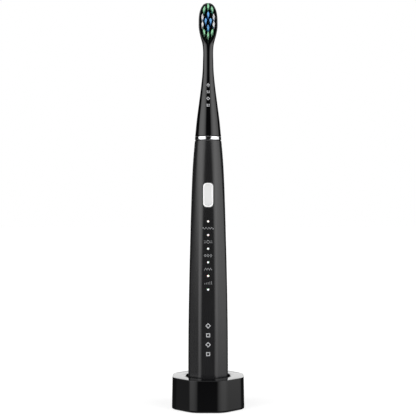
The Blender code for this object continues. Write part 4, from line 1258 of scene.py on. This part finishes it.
def inside_outline(x, z):
    """True when a point lies inside the tuft's outline."""
    inside = False
    points = TUFT_OUTLINE
    for (x1, z1), (x2, z2) in zip(points, points[1:] + points[:1]):
        if (z1 > z) != (z2 > z) and x < (x2 - x1) * (z - z1) / (z2 - z1) + x1:
            inside = not inside
    return inside


def tuft(node, tilt, thickness):
    """Filaments on a staggered grid inside the outline, a little splayed and uneven at the tips."""
    draw = random.Random(node)
    middle = (low(node) + high(node)) / 2
    turn = Matrix.Rotation(math.radians(-tilt), 2)
    pitch = thickness * GRID_PITCH
    # the strands behind the outer ones are packed so tight that one solid stands for them
    core = [turn @ Vector((x * CORE_SHARE[0], z * CORE_SHARE[1])) for x, z in TUFT_OUTLINE]
    core_ends = (ROOT_Y, TUFT_TIP_Y + CORE_SHORT)
    bodies = [skin([[(middle.x + p.x, y, middle.z + p.y) for p in core] for y in core_ends])]
    columns, rows = GRID_REACH
    for row in range(-rows, rows + 1):
        for column in range(-columns, columns + 1):
            x = (column + 0.5 * (row % 2)) * pitch
            z = row * pitch * GRID_ROW
            if not inside_outline(x * TUFT_CLOSING[0], z * TUFT_CLOSING[1]):
                continue
            x += draw.uniform(-FILAMENT_WANDER, FILAMENT_WANDER)
            z += draw.uniform(-FILAMENT_WANDER, FILAMENT_WANDER)
            spot = turn @ Vector((x, z))
            tip_y = TUFT_TIP_Y + draw.uniform(0.0, TIP_UNEVEN)
            wander = Vector((draw.gauss(0.0, FILAMENT_LEAN), draw.gauss(0.0, FILAMENT_LEAN)))
            lean = spot * TUFT_SPLAY + wander
            bodies.append(filament(middle, spot, lean, tip_y, thickness / 2))
    return joined(bodies)


def filament(middle, spot, lean, tip_y, radius):
    """One strand from just inside the head to its rounded tip."""
    rings = []
    for share, size in ((0.0, 1.0), (0.5, 1.0), (0.99, 1.0), (0.998, 0.85), (1.0, 0.6)):
        y = ROOT_Y + (tip_y - ROOT_Y) * share
        centre = spot + lean * share * share
        rings.append([(middle.x + x, y, middle.z + z) for x, z in circle(radius * size, 6, centre)])
    return skin(rings)


# ---------------------------------------------------------------- stage

CAMERA_PLACE = (-0.08, -676.0, 129.2)
CAMERA_LENS = 90.0                      # on a sensor 36 wide

# A direction seen from the object, worked out step by step: name, operation, inputs. right, left and
# round are degrees round from the side that the camera is on, climb is degrees above the horizon.
DIRECTION = (
    ("ahead", "MULTIPLY", ("y", -1.0)),
    ("turn", "ARCTAN2", ("x", "ahead")),
    ("right", "DEGREES", ("turn",)),
    ("left", "MULTIPLY", ("right", -1.0)),
    ("round", "ABSOLUTE", ("right",)),
    ("rise", "ARCSINE", ("z",)),
    ("climb", "DEGREES", ("rise",)),
)


def side_light(side, start, start_low, end, far, glow, fall):
    """Steps of the soft light on one side. A RAMP goes smoothly from one value to the other
    while its angle goes from start to end."""
    first, last, edge_first, edge_last = fall
    return (
        # low down the light reaches further forward
        ("inner", "RAMP", ("climb", -12.0, 4.0, start_low, start)),
        ("inside", "SUBTRACT", (side, "inner")),
        # the inner edge rises fast and then eases off, as the edge of a diffuser does
        ("quick", "RAMP", ("inside", 0.0, 15.3, 0.0, 0.55)),
        ("slow", "RAMP", ("inside", 6.8, 37.4, 0.0, 0.45)),
        ("middle", "ADD", ("quick", "slow")),
        ("far", "RAMP", (side, 62.0, 104.0, 1.0, far)),
        ("outer", "RAMP", (side, end - 5.0, end + 2.0, 1.0, 0.0)),
        # its lower edge climbs as it goes round to the side
        ("edge", "RAMP", (side, first, last, edge_first, edge_last)),
        ("above", "SUBTRACT", ("climb", "edge")),
        ("lower", "RAMP", ("above", -9.0, 9.0, 0.0, 1.0)),
        ("upper", "RAMP", ("climb", 40.0, 60.0, 1.0, 0.0)),
        (side + " light", "MULTIPLY", ("middle", "far", "outer", "lower", "upper", glow)),
    )


ROOM = (
    *side_light("left", 15.0, 12.0, 97.0, 0.60, 2.75, (66.0, 96.0, -8.2, 4.5)),
    *side_light("right", 20.0, 3.0, 110.0, 0.50, 2.65, (60.0, 90.0, -9.6, -7.8)),
    # a low band of light far behind the object
    ("behind", "RAMP", ("round", 150.0, 165.0, 0.0, 1.0)),
    ("bottom", "RAMP", ("climb", 4.0, 7.5, 0.0, 1.0)),
    ("top", "RAMP", ("climb", 12.0, 20.0, 1.0, 0.0)),
    ("backdrop", "MULTIPLY", ("behind", "bottom", "top", 1.7)),
    # what the pale floor throws back, weaker behind
    ("down", "RAMP", ("climb", -12.0, -4.0, 0.14, 0.0)),
    ("near", "RAMP", ("round", 100.0, 130.0, 1.0, 0.3)),
    ("floor", "MULTIPLY", ("down", "near")),
    # and a little more of it straight to each side
    ("from side", "RAMP", ("round", 74.0, 84.0, 0.0, 1.0)),
    ("to side", "RAMP", ("round", 94.0, 104.0, 1.0, 0.0)),
    ("level", "RAMP", ("climb", -6.0, -1.0, 0.14, 0.0)),
    ("spill", "MULTIPLY", ("from side", "to side", "level")),
    # soft light above the camera, too high for the walls to mirror
    ("high", "RAMP", ("climb", 30.0, 38.0, 0.0, 1.0)),
    ("in front", "RAMP", ("round", 60.0, 90.0, 1.0, 0.0)),
    ("overhead", "MULTIPLY", ("high", "in front", 1.5)),
    ("total", "ADD", ("left light", "right light", "backdrop", "floor", "spill", "overhead", 0.015)),
)


class TOOTHBRUSH_OT_stage(PieceOperator, bpy.types.Operator):
    """Pale floor, a wide soft light on each side, a light backdrop and the camera"""

    bl_idname = "toothbrush.stage"
    bl_label = "Stage"

    def execute(self, context):
        scene = context.scene
        scene.view_settings.view_transform = "Standard"
        scene.view_settings.look = "None"
        camera = bpy.data.cameras.new("Camera")
        camera.lens = CAMERA_LENS
        camera.sensor_width = 36.0
        camera.clip_end = 50.0
        holder = bpy.data.objects.new("Camera", camera)
        holder.location = mm(*CAMERA_PLACE)
        holder.rotation_euler = (math.radians(90.0), 0.0, 0.0)
        scene.collection.objects.link(holder)
        scene.camera = holder
        floor()
        scene.world = studio_world()
        return {"FINISHED"}


def floor():
    """Pale floor that the camera sees from above only and that the object doesn't mirror."""
    reach = 6000.0
    corners = [(-reach, -reach, 0.0), (reach, -reach, 0.0), (reach, reach, 0.0), (-reach, reach, 0.0)]
    mesh = bpy.data.meshes.new("Floor")
    mesh.from_pydata([mm(*corner) for corner in corners], [], [(0, 1, 2, 3)])
    plane = bpy.data.objects.new("Floor", mesh)
    bpy.context.scene.collection.objects.link(plane)
    material, tree, shader = new_material(
        "White paper floor", Base_Color=(*linear("A0A0A0"), 1.0), Roughness=0.9,
        Emission_Color=(1.0, 1.0, 1.0, 1.0), Emission_Strength=0.72,
    )
    clear = add(tree, "ShaderNodeBsdfTransparent")
    side = add(tree, "ShaderNodeNewGeometry")
    mix = add(tree, "ShaderNodeMixShader", {
        0: side.outputs["Backfacing"], 1: shader.outputs[0], 2: clear.outputs[0],
    })
    tree.links.new(mix.outputs[0], tree.nodes["Material Output"].inputs["Surface"])
    mesh.materials.append(material)
    plane.visible_glossy = False
    plane.visible_diffuse = False


def studio_world():
    """White to the camera; to everything else a dark room with a soft light on each side."""
    world = bpy.data.worlds.new("Studio")
    world.use_nodes = True
    tree = world.node_tree
    tree.nodes.clear()
    where = add(tree, "ShaderNodeTexCoord").outputs["Generated"]
    axes = add(tree, "ShaderNodeSeparateXYZ", {0: where})
    values = {name.lower(): socket for name, socket in axes.outputs.items()}
    ramp_sockets = ("Value", "From Min", "From Max", "To Min", "To Max")
    for name, operation, inputs in (*DIRECTION, *ROOM):
        given = [values.get(item, item) for item in inputs]
        if operation == "RAMP":
            node = add(tree, "ShaderNodeMapRange", dict(zip(ramp_sockets, given)),
                       interpolation_type="SMOOTHSTEP")
        else:
            node = add(tree, "ShaderNodeMath", dict(enumerate(given[:2])), operation=operation)
            for item in given[2:]:
                node = add(tree, "ShaderNodeMath", {0: node.outputs[0], 1: item}, operation=operation)
        values[name] = node.outputs[0]
    pure = (1.0, 1.0, 1.0, 1.0)
    dark = add(tree, "ShaderNodeBackground", {"Color": pure, "Strength": values["total"]})
    white = add(tree, "ShaderNodeBackground", {"Color": pure, "Strength": 1.0})
    seen = add(tree, "ShaderNodeLightPath").outputs["Is Camera Ray"]
    mix = add(tree, "ShaderNodeMixShader", {0: seen, 1: dark.outputs[0], 2: white.outputs[0]})
    add(tree, "ShaderNodeOutputWorld", {"Surface": mix.outputs[0]})
    return world


# ---------------------------------------------------------------- panel and registration

OPERATORS = (
    TOOTHBRUSH_OT_housing, TOOTHBRUSH_OT_underside, TOOTHBRUSH_OT_charging, TOOTHBRUSH_OT_handle,
    TOOTHBRUSH_OT_button, TOOTHBRUSH_OT_lights, TOOTHBRUSH_OT_inside, TOOTHBRUSH_OT_motor,
    TOOTHBRUSH_OT_shaft, TOOTHBRUSH_OT_head, TOOTHBRUSH_OT_bristles, TOOTHBRUSH_OT_stage,
)


class TOOTHBRUSH_PT_panel(bpy.types.Panel):
    """Sizes, colours and the pieces in the order they are made"""

    bl_idname = "TOOTHBRUSH_PT_panel"
    bl_label = "Electric Toothbrush"
    bl_space_type = "VIEW_3D"
    bl_region_type = "UI"
    bl_category = "Toothbrush"

    def draw(self, context):
        layout = self.layout
        for group in (context.scene.toothbrush_sizes, context.scene.toothbrush_colours):
            column = layout.column(align=True)
            for name in group.__annotations__:
                column.prop(group, name)
        column = layout.column(align=True)
        for operator in OPERATORS:
            column.operator(operator.bl_idname)


CLASSES = (ToothbrushSizes, ToothbrushColours, *OPERATORS, TOOTHBRUSH_PT_panel)


def register():
    for item in CLASSES:
        bpy.utils.register_class(item)
    bpy.types.Scene.toothbrush_sizes = PointerProperty(type=ToothbrushSizes)
    bpy.types.Scene.toothbrush_colours = PointerProperty(type=ToothbrushColours)


def unregister():
    del bpy.types.Scene.toothbrush_colours
    del bpy.types.Scene.toothbrush_sizes
    for item in reversed(CLASSES):
        bpy.utils.unregister_class(item)


def main():
    register()
    for operator in OPERATORS:
        group, name = operator.bl_idname.split(".")
        result = getattr(getattr(bpy.ops, group), name)()
        if result != {"FINISHED"}:
            raise RuntimeError(f"{operator.bl_label} did not finish")


if __name__ == "__main__":
    main()
